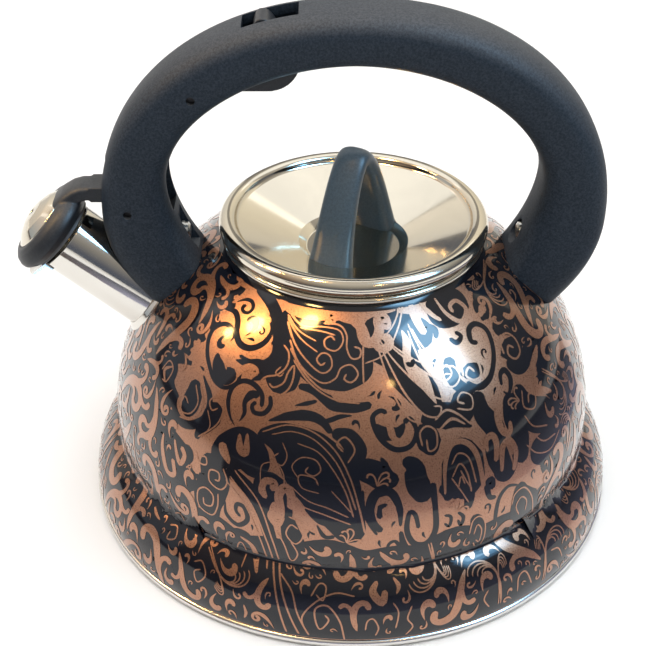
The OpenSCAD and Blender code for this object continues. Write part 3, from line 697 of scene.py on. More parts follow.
    ("k", (3, 4, 3, 1), "-28.6 112.6 -27 115.5 -24.6 116.6 -22.5 114.6"),
    ("k", (2, 4.4, 4.4, 3), "-22.5 119 -23.4 124 -21.6 128.5 -20.6 123"),
    ("c", (.5, 1.4, .6), "-22.6 121.6 -22 125 -22.4 128"), ("k", (3, 5, 5), "-28 120 -27 125 -25.6 131"),
    ("k", (1.5, 3, 3, 2), "-18.8 118.8 -17 122 -16.4 127 -18.4 129.6 -20 125"),
    ("k", (1, 4, 6, 4), "-47 103 -46 97.5 -42.6 96 -40.6 100"),
    ("f", (.6, .6), "-45.5 101 -43 98 -41.5 101"), ("k", (2, 6, 4), "-52 88 -49.5 92.5 -48.5 97"),
    ("k", (1, 3, 3, 2), "-62 104 -60.6 107 -58.6 109 -58 105"),
    ("k", (2, 5, 4), "-57.6 102 -55.6 107 -54.4 112"), ("k", (2, 5, 3), "-52.6 103 -50.6 107 -47.6 108"),
    ("c", (.5, 1.4, .7), "-52 103.6 -50 106 -48 107"), ("k", (1, 3, 2), "-49.6 116 -47.4 119.6 -45.4 116"),
    ("k", (2, 6, 5), "-46 124 -42 122 -38.5 128"),
    ("k", (3, 7, 6, 3), "-46 104 -43.5 107.5 -43.6 112 -42 116"),
    ("f", (.6, .6), "-45 106 -43 104.8 -42 109 -44 111 -44 107.6"),
    ("k", (2, 3, 4.5, 3), "-11 74 -7.5 79 -4 78.4 -2 75"),
    ("k", (.6, 1.8, 1.6), "-8.4 81 -6.6 86 -4.4 85.6"),
    ("k", (1.4, 2.6, 2.6, 1.4), "-6.6 92 -5.2 93.5 -4.4 98 -5.2 101.6 -6.6 98.4"),
    ("k", (2, 3.6, 3, 1), "-2 88 -3 93 -2.6 99 -1.6 102"),
    ("c", (1.6, 3.4, 2.8, 2.6), "-17.4 76 -18.4 80 -17 83.4 -15.9 79"),
    # lower right
    ("k", (1, 2.4, 3.2, 4, 3.6, 3, 2.4), "9.6 82 9.4 74 7.5 67.6 4.4 67.6 3 73 3.6 79 5.6 83.6"),
    ("k", (2, 2.4, 1.2), "5.2 78 5 73.6 6.8 72"), ("f", (.6, .5), "4.2 76 4.8 70.6 6.8 69 8.6 74"),
    ("k", (1, 1.6, 1.6, 1), "1.4 66 1.6 74 3 80 4.6 85"),
    ("k", (1.5, 3, 3.4, 4, 5), "9.6 84 10.6 92 13 100 15.6 105.6 18.6 108"),
    ("k", (1.6, 1.8, 2.2, 2.6, 2.4, 2.2, 3),
     "13.6 84 12.9 78 11.6 76.6 11 84 12.6 90.6 15.5 91.6 17.4 86 17.4 76 17 66"),
    ("k", (1, 1.4, 2, 1.2), "7 94 7 90 8.4 88.4 9.6 92 9.2 96.6 8 97 7.8 94"),
    ("k", (1, 2.2, 2, 1), "17 100 17.4 94 19 93.5 19.2 99 18.6 103"),
    ("k", (4, 5, 3), "18.8 68 20.4 71 20.6 75"),
    ("k", (1, 1.4, 1.4, .8), "19.4 80.5 21 82 20.6 86 19.4 84"),
    ("k", (1, 1.6, 1.6, .9), "22.6 80.6 24 83.6 23.4 87 22.6 84"),
    ("k", (4, 7, 5, 3), "22.6 64 24 70 25.6 75 25 81"), ("f", (.6, .5), "21.6 66 23.6 72 25.4 78"),
    ("f", (.6, .5), "24 64 25.2 69 26.4 73"),
    ("k", (3, 7, 8.5, 8, 4), "26.4 84.5 27.4 88 27.8 93 28.2 99 28.6 104"),
    ("f", (.6, .6), "25.6 93 26.4 87 28.2 86 29.6 90 29.6 98 28 102 26.8 98"),
    ("f", (.5, .6), "26.8 94 27.6 89.6 28.8 93 28.4 98.6 27.4 97"),
    ("k", (1.2, 1.8, 1.6, 1.2), "21 97 21 91 23 89.6 24 94 23.4 100"),
    ("k", (3, 3.4, 2.4, 1.6), "31.6 76.4 31.6 72.4 30.4 74 30.8 79 32.6 80.4"),
    ("k", (2.4, 3, 2.6, 2), "33.5 66 33.4 71.5 36 74.4 38.6 71 38.8 66"),
    ("k", (.8, 1.8, 2, 1.6, 1), "39 80 36 78.4 33.4 81.6 32.4 90 33.4 97 35.2 103"),
    ("k", (4, 10, 16, 14, 9), "40 79.5 39.8 84 41 91 43 97 44 101"),
    ("f", (.6, .7), "37 88 38 83.4 41 83 43.6 90 44.6 99"),
    ("f", (.6, .6), "39.6 95 38.4 89.6 40 86.6 41.8 90 41.6 95"),
    ("k", (8, 14, 12, 6), "44 69 48 72 53 72.5 58 70"), ("f", (.6, .6), "43 66 46 72 51 75 56 71"),
    ("f", (.6, .7), "46 64 49 69.5 54 71"), ("k", (8, 10, 7, 5), "1 107 7 109 13 111.5 19 111"),
    ("c", (1.4, 3, 3, 2), "4.6 106.5 3.6 110.6 5.4 114.6 6.2 110"),
    ("c", (.6, 1.8, .6), "8 105.6 9 109 8.4 112"), ("k", (2, 3, 2.6, 2), "21 103 24 105 27 110 30 112"),
    ("k", (1.2, 2.4, 1.6, .8), "31 103 32.5 110 35.4 112.6 37 106 36 103.4"),
    ("k", (1, 2, 2), "38.6 112 38 107 40 106 40.6 110"), ("k", (3, 4, 4), "41 103.6 44 108 46.6 113"),
    ("k", (2, 6, 7, 6), "3 118.5 3.2 121 3.4 125 3.6 130.5"),
    ("f", (.6, .6), "2 126 2.4 122 3.6 121 4.6 125 4 129"), ("k", (6, 9, 9), "8.6 114 9.4 121 9.6 130.5"),
    ("f", (.6, .6), "7.6 115 8.6 119 8 126"), ("f", (.6, .6), "11.4 117 10.4 122 11.4 126 10 130"),
    ("k", (1, 2.4, 2.4, 1), "13.2 130.5 13.6 124.6 15.6 122.4 17.2 126 17 130.5"),
    ("k", (4, 5, 3), "18 114.6 19 118 18.6 121"),
    ("k", (1, 2, 2, 1.4), "21.4 130.5 21 124 22 118.6 23.6 121 23 128"),
    ("k", (3, 6, 5, 3), "28.6 117 27 121 27.6 126 29.4 130.5"), ("f", (.6, .6), "28 119 26.8 122.4 28 127"),
    ("k", (3, 6, 9, 8), "36 116.4 36.4 120 37 125 37.6 130"),
    ("f", (.6, .7), "35 126 35.6 120 37.6 119 39 126"), ("k", (3, 4, 3), "31.6 115 32.6 119 31.4 124"),
    ("k", (2, 4, 3, 1), "48 104 49 108 52 110.6 55 106"), ("k", (5, 7, 4), "45 117 48 121 50 127"),
    ("f", (.6, .6), "45.6 118 48 119.6 49 125"),
    # dark fields round the middle
    ("k", (6, 14, 16, 14, 8), "-34 66 -31 61 -27 57 -24 60 -21.5 66"),
    ("c", (1, 3.3, 2.6, 1), "-28.5 52 -27.5 57.5 -26 58 -26.5 51"),
    ("c", (1, 3, 3.4), "-29.5 64.5 -31.8 60.5 -32.3 57.3"),
    ("k", (8, 14, 12, 6), "-22 64 -19 70 -17 76 -15 82"),
    ("c", (1.6, 3, 2.6, 2.8, 3.2, 2.4), "-19.8 73.5 -21 70 -20.3 66.6 -18.3 66.8 -18.6 70"),
    ("c", (1.6, 3.2, 3.4, 3.2), "-17.8 74 -18.3 78 -16.8 82.5 -16.4 77 -17 71 -15.7 67.5 -14.3 70 -14 76"),
    ("k", (4, 9, 9, 6), "31 35 28.5 39.5 27 43 30 46"),
    ("f", (.7, .6, .8), "26 41.5 30 43.4 31 39 28.6 36.6 26.8 39 28.6 40.8"),
    ("k", (3, 8, 9, 5, 1), "16 43 20 42.5 24.5 44.6 29 49.6"),
    ("f", (.7, .9, .6), "19.6 43.6 23 41 26 43.6 29 49"), ("f", (.6, 1.2, .6), "20 47.6 24 44.6 27.4 48"),
    ("k", (2, 9, 9, 3), "15.5 44 17 48.6 17.6 52.6 18 56"),
    ("f", (.7, .7), "15.6 52 15.4 47 17.4 45 19.4 47.6 19 53 17 54 16.8 49.6"),
    ("k", (6, 17, 18, 16), "25 52 25 60 24.6 68 24.4 76"),
    ("c", (.8, 2, 2.2, 1.8), "19.8 72 20.4 61 22.5 54 26 54 28.6 60 29.4 74"),
    ("f", (.6, .7), "22 61 24 57.6 26.5 60.6 27.6 71"), ("f", (.6, .7), "21.8 66 24 61.5 25.6 66 26.2 74"),
    ("f", (.6, .6), "23 71 24 66.4 24.8 70"), ("k", (5, 8, 9, 10, 8), "33 38 32.6 46 35 54 34 62 36 74"),
    ("c", (1, 2.6, 2.6, 2), "31.6 61 31.8 56.6 33.6 55.5 34.4 59 33.4 66"),
    ("c", (1.4, 2.8, 2.6, 2), "34.6 71 35.8 62 38.2 60.6 39.4 66 38 73"),
    ("k", (6, 9, 9, 6), "42.4 44 41 52 41.8 60 41 72"),
    ("c", (1.6, 3, 3, 2.6, 1.6), "38.5 44 36.6 50 37 56 39 57.6 39.8 53.6"),
    ("k", (5, 10, 14, 14, 9), "45.6 43 45.6 50 48 57 52 61 55 66"),
    ("f", (.6, .8), "46.6 46 45.4 52 48.6 55 50.4 51 48.4 49 47.2 52"),
    ("f", (.6, .7), "44.6 55 46.6 61 51.6 65"), ("c", (1, 3, 3, 2.2), "60 37 56 40 53.6 42 54 45.6"),
    ("c", (1, 3, 3, 2), "57 55 53.6 51.6 52 48.6 53.6 46"), ("k", (3, 7, 8, 5), "-6 45 -2 47 0 52 -1 57"),
    ("f", (.6, .7), "-2 56 -.4 51 -2.6 46.6 -4.6 49 -3 52"),
    ("k", (1.6, 1.9, 2, 2, 1.6, 2),
     "7.8 38.4 6 37.4 4 40 5.6 47 9 51.6 12.8 51 14.6 46 13.4 41.4 11.6 42.6"),
    ("k", (1, 5, 4.5, 1), "4.4 42 7 45.6 10 45.6 12 42.6"),
    ("c", (.6, 2.6, 2.2), "12 49 9 47.6 8 42.6 6.6 40.6"),
    ("k", (3, 8, 9, 6), "10.6 55.6 13 58.6 13.6 65 15.6 73"), ("k", (1, 2.6, 3), "5.6 54 6.6 57.6 5 58"),
    ("k", (4, 9, 10, 4), "-2 57 3 59 7 62.4 9.6 63"), ("k", (2, 5, 3), "-68 36 -64.6 40 -63.6 46"),
    ("k", (4, 9, 9, 4), "-58 40 -55.6 44.6 -56 49.6 -58.6 52"),
    ("f", (.6, .7), "-58.6 47 -57.4 42 -54.6 43.6 -55 49 -57 49.6"),
    # plume in the window's light
    ("k", (2, 9, 14, 12, 5), "6 8 10 16 15 26 19 36 20 44"),
    ("f", (.5, .8, .6), "7 9 13 17 19 25 24.5 30.5 27.5 29 27 25.5 25 26.5"),
    ("f", (.5, .8, .6), "7 10 11 19 16 28 21 35.5 24.5 37 26 34.5 24 33.5"),
    ("f", (.5, .8, .6), "7 11 10 22 13 32 17 40.5 20.5 42.5 22 39.5 20 38.5"),
    ("f", (.5, .8, .6), "6.5 12 8.5 24 10.5 34 13 41 15.5 43.5"),
    ("f", (.5, .7, .5), "9 11 15 18 20 22.5 22.5 21.5 21.5 19.5"),
]


# Motifs in mm, about 12 long, as (ink, spine, widths): k black on the copper ground, c copper on black,
# f a fine copper line, K black on copper on black.

def turned(q, angle):
    c, s = math.cos(angle), math.sin(angle)
    return np.stack([q[:, 0] * c - q[:, 1] * s, q[:, 0] * s + q[:, 1] * c], 1)


def side_curl(spine, at, q, side, lean):
    """A curl q that leaves a spine at a share of its length, to its left (1) or right (-1)."""
    i = int(at * len(spine))
    along = math.atan2(*(spine[i + 1] - spine[i])[::-1])
    return turned(q * [1, side], along + side * lean) + spine[i]


def in_copper(motif):
    return [("c", p, w) for _, p, w in motif]


def drop_outline(length, curl, fat):
    p = scroll(length, 0.01, curl, 1.7)
    return p, widths(len(p), (0, 0.2), (0.3, fat * 0.45), (0.64, fat), (0.88, fat * 0.92), (1, fat * 0.6))


def comma():
    p = scroll(17, 0.02, 0.62, 1.6)
    return [("k", p, widths(len(p), (0, 0.1), (0.35, 2.1), (0.72, 4.6), (1, 3.4)))]


def curl():
    p = scroll(30, 0.03, 0.8, 2.2)
    return [("k", p, widths(len(p), (0, 0.15), (0.35, 2.8), (0.8, 1.6), (0.93, 2.7), (1, 2.0)))]


def double_curl():
    a = scroll(24, 0.05, 0.75, 2.0)
    p = np.vstack([-a[::-1], a[1:]])
    w = widths(len(p), (0, 1.9), (0.06, 2.3), (0.3, 1.5), (0.5, 3.4), (0.7, 1.5), (0.94, 2.3), (1, 1.9))
    return [("k", p, w)]


def paisley():
    p, w = drop_outline(24, 0.30, 11.5)
    q, v = drop_outline(18, 0.34, 6.4)
    e = scroll(13, 0.0, 0.75, 1.8) + [8.0, 0.3]
    eye_w = widths(len(e), (0, 0.1), (0.5, 1.3), (0.9, 1.6), (1, 1.1))
    return [("k", p, w), ("c", q + [4.5, 0.2], v), ("K", e, eye_w)]


def lined_paisley():
    p, w = drop_outline(26, 0.26, 12.5)
    out = [("k", p, w)]
    for dx, length, k in ((4, 26, 0.34), (6.5, 20, 0.48), (9.5, 15, 0.7)):
        q = scroll(length, 0.0, k, 1.7) + [dx, (dx - 4) * 0.12]
        out.append(("f", q, widths(len(q), 0.45, 0.65, 0.45)))
    return out


def plume():
    """A black field with fine copper lines that leave one root and curl over at their ends."""
    p = scroll(34, 0.0, 0.03, 1.0)
    out = [("k", p, widths(len(p), (0, 1.2), (0.35, 9), (0.7, 15), (0.9, 12), (1, 7)))]
    for i, side in enumerate((-0.26, -0.15, -0.05, 0.06, 0.17)):
        q = scroll(33 - 2.2 * abs(i - 2), 0.0, 0.62 * (1 if i % 2 else -1), 5.0)
        out.append(("f", turned(q, side), widths(len(q), 0.35, 0.5, 0.7)))
    return out


def hook():
    p = scroll(15, 0.05, 0.9, 1.8)
    return [("k", p, widths(len(p), (0, 0.12), (0.4, 2.0), (0.85, 1.3), (0.95, 2.2), (1, 1.8)))]


def bud():
    p = scroll(10, 0.02, 0.25, 1.5)
    return [("k", p, widths(len(p), (0, 0.1), (0.6, 3.1), (1, 2.3)))]


def spiral(turns, r0, r1, step=0.6):
    """A coil that winds from radius r0 to r1 about (0, 0)."""
    a = np.linspace(0, 2 * np.pi * turns, max(10, int(turns * np.pi * (r0 + r1) / step)))
    r = np.linspace(r0, r1, len(a))
    return np.stack([-r * np.cos(a), r * np.sin(a)], 1)


def eye():
    """A round black leaf with a fine copper coil in it."""
    p, w = drop_outline(19, 0.22, 11.0)
    q = spiral(1.9, 3.9, 0.9) + p[-3]
    tail = scroll(13, 0.0, 0.2, 1.5) + [4.0, -0.6]
    return [("k", p, w), ("f", q, widths(len(q), 0.55, 0.7, 0.8)), ("f", tail, widths(len(tail), 0.4, 0.6))]


def ring():
    """A black pen stroke that sweeps round and coils in on itself, with a blob at its end."""
    p = scroll(46, 0.075, 0.42, 3.0)
    w = widths(len(p), (0, 0.3), (0.12, 1.8), (0.45, 3.0), (0.7, 2.2), (0.93, 2.2), (0.97, 3.2), (1, 2.4))
    return [("k", p, w)]


def leafy():
    """A broad black leaf with three copper curls standing on one rib."""
    p = scroll(30, 0.03, 0.09, 1.0)
    out = [("k", p, widths(len(p), (0, 0.8), (0.3, 8), (0.6, 12.5), (0.85, 11), (1, 6)))]
    for at, size, side in ((0.30, 7, 1), (0.5, 10, -1), (0.68, 11, 1)):
        q = side_curl(p, at, scroll(size, 0.02, 0.75, 1.6), side, 0.15)
        out.append(("f", q, widths(len(q), 0.45, 0.65, 0.85)))
    out.append(("f", p[2:-8], widths(len(p) - 10, 0.7, 0.5)))
    return out


def branch(length, k0, k1, curls):
    """A copper scroll on black: a main pen stroke with smaller curls leaving it on both sides."""
    p = scroll(length, k0, k1, 2.4)
    out = [("c", p, widths(len(p), (0, 0.5), (0.15, 2.4), (0.5, 3.4), (0.8, 2.6), (0.95, 3.0), (1, 2.2)))]
    for at, size, side in curls:
        q = side_curl(p, at, scroll(size, 0.03, 0.78, 1.7), side, 0.35)
        out.append(("c", q, widths(len(q), (0, 2.6), (0.6, 1.7), (0.9, 2.3), (1, 1.8))))
    return out


def nest():
    """Fine copper drops drawn one inside the other, with a coil at the heart."""
    out = []
    for start, length, k in ((0, 30, 0.30), (2.0, 25, 0.36), (4.2, 20, 0.46), (6.6, 15, 0.62)):
        q = scroll(length, 0.0, k, 1.7) + [start, start * 0.12]
        out.append(("f", q, widths(len(q), 0.5, 0.75, 0.5)))
        out.append(("f", q * [1, -0.35] + [0, 1.0], widths(len(q), 0.4, 0.55, 0.4)))
    return out


def tendril():
    """Fine copper curls that fan out from one root."""
    out = []
    for turn, length, side in ((0.0, 22, 1), (0.4, 17, 1), (-0.4, 18, -1), (0.85, 11, 1)):
        q = turned(scroll(length, 0.0, 0.7, 2.2) * [1, side], turn)
        out.append(("f", q, widths(len(q), 0.4, 0.65, 0.8)))
    return out


# Each pass: motif names, smallest and largest scale, places tried, clear margin round each, room needed, and
# the share that may overlap. FINE goes on the broad black strokes listed one by one, GILT on the black sides.
FINE = dict(tendril=tendril(), nest=nest())
FINE_PASSES = (
    (("tendril", "nest"), 0.75, 1.0, 24000, 0.4, 3.6, 0.03),
    (("tendril",), 0.4, 0.65, 24000, 0.4, 2.4, 0.03),
)
GILT = dict(branch=branch(36, 0.03, 0.50, ((0.3, 11, 1), (0.5, 13, -1), (0.68, 9, -1))),
            sweep=branch(30, -0.04, 0.55, ((0.25, 10, -1), (0.55, 12, 1))),
            twig=branch(22, 0.02, 0.6, ((0.4, 10, -1),)), nest=nest(), curl=in_copper(curl()),
            comma=in_copper(comma()), double=in_copper(double_curl()), hook=in_copper(hook()))
GILT_PASSES = (
    (("branch", "nest", "sweep"), 0.95, 1.2, 30000, 1.1, 6.0, 0.02),
    (("nest", "sweep", "twig", "double", "branch"), 0.75, 0.95, 30000, 1.0, 4.5, 0.02),
    (("twig", "double", "curl", "comma"), 0.6, 0.8, 30000, 0.9, 3.2, 0.02),
    (("comma", "hook", "curl"), 0.4, 0.6, 24000, 0.9, 1.9, 0.02),
    (("comma", "hook"), 0.25, 0.38, 12000, 0.7, 1.2, 0.02),
)
# Where the black sides begin, as (mm below the neck, degrees): on the left of the front and on its right
LEFT_EDGE = ((0, -58), (28, -59), (50, -61), (64, -53), (74, -44), (100, -45), (131, -47))
RIGHT_EDGE = ((0, 58), (30, 60), (60, 61), (78, 56), (96, 50), (131, 52))


def black_sides():
    """Broad black strokes with waved edges: upright ones that fill the body between the front design and the
    back one, and level rows round the flared band."""
    s = np.linspace(0.3, S_END - 0.3, 66)
    left, right = (np.interp(s, *np.array(e, float).T) for e in (LEFT_EDGE, RIGHT_EDGE))
    phi = np.arange(-56.0, 62.0, 1.5)
    out = []
    for row in (96, 104, 112, 120, 125):
        wave = 1.8 * np.sin(phi * 0.21) + 1.2 * np.sin(phi * 0.47 + 1) if row == 96 else 0 * phi
        out += [("k", np.stack([phi + back, row + wave], 1), np.full(len(phi), 12.0)) for back in (0, 180)]
    for first, last in ((right, left + 180), (right + 180, left + 360)):
        for k in np.linspace(0, 1, 10):
            wave = 2.6 * np.sin(s * 0.29 + 9 * k) + 1.4 * np.sin(s * 0.71 + 4 * k)
            q = np.stack([first + (last - first) * k + wave * (k in (0, 1)), s], 1)
            q = smooth(q, 1.5)
            out.append(("k", q, np.array([0.3] + [21.0] * (len(q) - 2) + [0.3])))
    return out


MOTIFS = dict(comma=comma(), curl=curl(), double=double_curl(), paisley=paisley(), lined=lined_paisley(),
              plume=plume(), hook=hook(), bud=bud(), eye=eye(), ring=ring(), leafy=leafy())
PASSES = (
    (("leafy", "lined", "plume", "eye", "paisley"), 0.9, 1.2, 40000, 1.1, 7.5, 0.015),
    (("eye", "leafy", "paisley", "lined", "comma"), 0.75, 0.95, 40000, 1.1, 5.5, 0.015),
    (("eye", "ring", "double", "comma", "paisley", "lined"), 0.6, 0.8, 40000, 1.0, 4.0, 0.02),
    (("comma", "curl", "double", "eye", "comma"), 0.5, 0.7, 30000, 0.9, 2.7, 0.02),
    (("comma", "curl", "hook", "comma"), 0.4, 0.55, 24000, 0.9, 1.8, 0.02),
    (("comma", "bud"), 0.3, 0.42, 12000, 0.8, 1.3, 0.02),
)


def by_hand(ink, knots, text):
    """A stroke through (degrees, mm) points."""
    p = np.array(text.split(), float).reshape(-1, 2)
    r = radius_at(np.clip(p[:, 1], 0, S_END)).mean() * DEG
    q = smooth(p * [r, 1], 0.7) / [r, 1]
    return ink, q, widths(len(q), *knots)


def placed(motif, phi, s, turn, k, flip):
    """A motif centred at (phi, s), turned, scaled and perhaps mirrored."""
    c, d = math.cos(turn), math.sin(turn)
    heavy = motif[0][2] ** 1.5 + 0.1
    mid = (motif[0][1] * heavy[:, None]).sum(0) / heavy.sum()
    out = []
    for ink, p, w in motif:
        x, y = (p[:, 0] - mid[0]) * k, (p[:, 1] - mid[1]) * k * flip
        down = s + d * x + c * y
        q = np.stack([phi + (c * x - d * y) / (radius_at(np.clip(down, 0, S_END)) * DEG), down], 1)
        out.append((ink, q, w * (1 if ink == "f" else k)))
    return out


PHI_CELL, S_CELL = 0.25, 0.5
CELLS_ROUND = int(360 / PHI_CELL)


class Taken:
    """A map of the shell in cells of PHI_CELL degrees by S_CELL mm, marking where there is no room."""

    def __init__(self):
        self.map = np.zeros((CELLS_ROUND, int(S_END / S_CELL) + 2), bool)

    def mark(self, q, w, margin):
        r = radius_at(np.clip(q[:, 1], 0, S_END)) * DEG
        reach = w / 2 + margin
        my, mx = int(reach.max() / S_CELL) + 2, int(reach.max() / (r.min() * PHI_CELL)) + 2
        ox, oy = np.arange(-mx, mx + 1), np.arange(-my, my + 1)
        for i in range(len(q)):
            near = (ox[:, None] * PHI_CELL * r[i]) ** 2 + (oy * S_CELL) ** 2 <= reach[i] ** 2
            x, y = np.meshgrid((int(q[i, 0] // PHI_CELL) + ox) % CELLS_ROUND, int(q[i, 1] // S_CELL) + oy,
                               indexing="ij")
            ok = near & (y >= 0) & (y < self.map.shape[1])
            self.map[x[ok], y[ok]] = True

    def cells(self, phi, s):
        rows = np.clip(np.floor(s / S_CELL).astype(int), 0, self.map.shape[1] - 1)
        return np.floor(phi / PHI_CELL).astype(int) % CELLS_ROUND, rows

    def round_about(self, phi, s, room):
        """Which of 13 places in a disc at (phi, s) are taken or off the shell."""
        r = radius_at(np.clip(s, 0, S_END)) * DEG
        a = np.arange(8) * math.pi / 4
        x = phi + np.concatenate([[0], np.cos(a), np.cos(a[::2]) * 0.5]) * room / r
        y = s + np.concatenate([[0], np.sin(a), np.sin(a[::2]) * 0.5]) * room
        return self.map[self.cells(x, y)] | (y < 0.5) | (y > S_END - 0.5)

    def open(self, phi, s, room):
        """Whether a disc at (phi, s) is nearly clear."""
        return self.round_about(phi, s, room).sum() < 2

    def free(self, count, room, rnd):
        """Random places that are nearly clear now."""
        dice = np.random.default_rng(rnd.randrange(1 << 30))
        places = np.stack([dice.uniform(-180, 180, count), dice.uniform(0, S_END, count)], 1)
        taken = self.round_about(places[:, :1], places[:, 1:], room).sum(1)
        return places[taken < 2][:4000]

    def clash(self, q, w, margin, limit):
        """Whether a stroke leaves the shell or covers more than limit of taken cells."""
        r = radius_at(np.clip(q[:, 1], 0, S_END)) * DEG
        d = np.gradient(q, axis=0) * np.stack([r, np.ones_like(r)], 1)
        d /= np.linalg.norm(d, axis=1)[:, None] + 1e-9
        n = np.stack([-d[:, 1] / r, d[:, 0]], 1) * (w / 2 + margin)[:, None]
        p = np.concatenate([q + n * k for k in (-1, -0.5, 0, 0.5, 1)])
        if (p[:, 1] < 1).mean() > 0.15 or (p[:, 1] > S_END - 0.5).mean() > 0.15:
            return True
        return self.map[self.cells(p[:, 0], p[:, 1])].mean() > limit


def pack(out, taken, rnd, motifs, passes, whole):
    """Adds motifs where there is room, largest first; whole asks that all of a motif's strokes lie clear."""
    for names, lo, hi, places, margin, room, limit in passes:
        for phi, s in taken.free(places, room, rnd):
            if not taken.open(phi, s, room):
                continue
            for _ in range(5):
                motif, k, flip = motifs[rnd.choice(names)], rnd.uniform(lo, hi), rnd.choice((-1, 1))
                turn = rnd.uniform(0, 360) if s < 60 else rnd.choice((90, 270)) + rnd.uniform(-40, 40)
                made = placed(motif, phi, s, math.radians(turn), k, flip)
                body = made if whole else made[:1]
                if not any(taken.clash(q, w, margin, limit) for _, q, w in body):
                    out += made
                    for _, q, w in body:
                        taken.mark(q, w, 0.0)
                    break


def pattern():
    """All strokes: the black sides, those listed for the front and repeated on the back, black motifs in
    the copper that is left, copper scrolls on the black sides, and fine copper lines on the black fields."""
    rnd, taken, gilt, fine = random.Random(5), Taken(), Taken(), Taken()
    sides = black_sides()
    for _, q, w in sides:
        taken.mark(q, w, 0.3)
        gilt.mark(q, w, -1.2)
    gilt.map = ~gilt.map
    front = [by_hand(*h) for h in HERO]
    hand = front + [(ink, q + [180, 0], w) for ink, q, w in front]
    for ink, q, w in hand:
        if ink in "kc":
            taken.mark(q, w, 0.7 if ink == "k" else 0.3)
        if ink in "cf":
            gilt.mark(q, w, 0.8)
        elif w.max() > 4.5:
            fine.mark(q, w, -0.7)
    fine.map = ~(fine.map & gilt.map)
    for ink, q, w in hand:
        if ink in "cf":
            fine.mark(q, w, 0.6)
    out = sides + hand
    pack(out, taken, rnd, MOTIFS, PASSES, False)
    pack(out, gilt, rnd, GILT, GILT_PASSES, True)
    pack(out, fine, rnd, FINE, FINE_PASSES, True)
    return out


# ---------------------------------------------------------------- body pieces

def enamel_shell():
    """The steel shell under the print; its foot and neck edges are rolled over."""
    outer = np.stack([MR, MZ], 1)[::8]
    foot = [(MR[-1], MZ[-1]), (BAND_FOOT[0] - 0.2, 3.95), (BAND_FOOT[0] - 0.8, 4.0)]
    neck_out = [(NECK_R, NECK_TOP), (NECK_R + 0.5, 115.8)]
    neck_in = [(NECK_R + 0.3, 114.4), (NECK_R - 0.75, 115.5), (NECK_R - 0.75, NECK_TOP - 0.1)]
    inner = outer[::-1] * 1.0
    step = np.gradient(inner, axis=0)
    step /= np.linalg.norm(step, axis=1)[:, None]
    inner += np.stack([-step[:, 1], step[:, 0]], 1) * 0.8
    keep = (inner[:, 1] < 113.8) & (inner[:, 1] > 4.2)
    shell = revolve("enamel_shell", np.vstack([neck_out, outer, foot, inner[keep], neck_in]), 256)
    cut(shell, rod("c", MOUTH - SPOUT_DIR * 58, MOUTH, SPOUT_R + 0.05, 64))
    shade(shell, 35)
    finish_piece(shell, "kettle", ENAMEL, "enamel", "body_shell")


def ring_arc(centre, r, a0, a1, steps):
    a = np.radians(np.linspace(a0, a1, steps))
    return np.stack([centre[0] + r * np.cos(a), centre[1] + r * np.sin(a)], 1)


def base_and_neck():
    rim = np.vstack([[(0, 4.0)], ring_arc((108.4, 2.4), 1.6, 90, -180, 28), [(106.4, 3.2), (0, 3.2)]])
    finish_piece(revolve("base_rim", rim, 256), "kettle", RIM_STEEL, "polished_steel", "base_pan")
    bead = np.vstack([[(48.37, 108), (49.13, 108), (49.13, 116.6)],
                      ring_arc((50.2, 117.7), 1.3, -140, 150, 22), [(48.6, 118.3), (48.37, 117.9)]])
    finish_piece(revolve("neck_bead", bead, 192), "kettle", MIRROR, "polished_steel", "neck_ring")


def lid():
    """The dished lid; its rolled rim stands clear of the neck bead, whose top is at 119.0."""
    rim_c, rim_r = (48.95, 122.85), 3.55
    inner = fillet([(0.0, 111.0), (18.4, 111.0), (21.6, 113.75), (45.3, 123.65), (46.2, 124.9)],
                   [0, 1.0, 0.9, 5.0, 0], 8, closed=False)
    roll = ring_arc(rim_c, rim_r, 140, -112, 44)
    under = [(46.6, 122.6), (21.8, 112.95), (18.6, 110.2), (0.0, 110.2)]
    dish = revolve("lid_dish_polished", np.vstack([inner, roll, under]), 256, smooth_deg=50)
    finish_piece(dish, "lid", MIRROR, "polished_steel", "lid_dish")


def spout():
    tube = fillet([(13.2, -46), (14, -46), (14, -1.0), (13.2, -1.0)], [0, 0, 0.35, 0.35], 4)
    piece = at_mouth(revolve("spout_tube_polished", tube, 160))
    cut(piece, dome_solid("c", -0.8))
    finish_piece(shade(piece, 35), "kettle", SPOUT_STEEL, "polished_steel", "spout_tube")
    plate = [(13.5, 9.7), (13.5, 10.9), (9.6, 13.4), (5.0, 14.9), (1.5, 15.2), (1.5, 14.2), (0.0, 14.2)]
    disc = np.vstack([[(0.0, 9.7)], fillet(plate, [0, 0.5, 5, 5, 0.5, 0, 0], 8, closed=False)])
    piece = at_mouth(revolve("whistle_plate", disc, 96, closed=False, smooth_deg=50))
    finish_piece(piece, "cap", MIRROR, "polished_steel", "whistle_front_disc")


def dome_hit(origin, direction, grow):
    """Distances along rays to the dome surface grown by grow."""
    scale = np.array([1 / (DOME_R + grow), 1 / (DOME_R + grow), 1 / (DOME_RISE + grow)])
    o, d = (origin - [0, 0, DOME_MID]) * scale, direction * scale
    a, b, c = (d * d).sum(-1), 2 * (o * d).sum(-1), (o * o).sum(-1) - 1
    return (-b - np.sqrt(np.maximum(0, b * b - 4 * a * c))) / (2 * a)


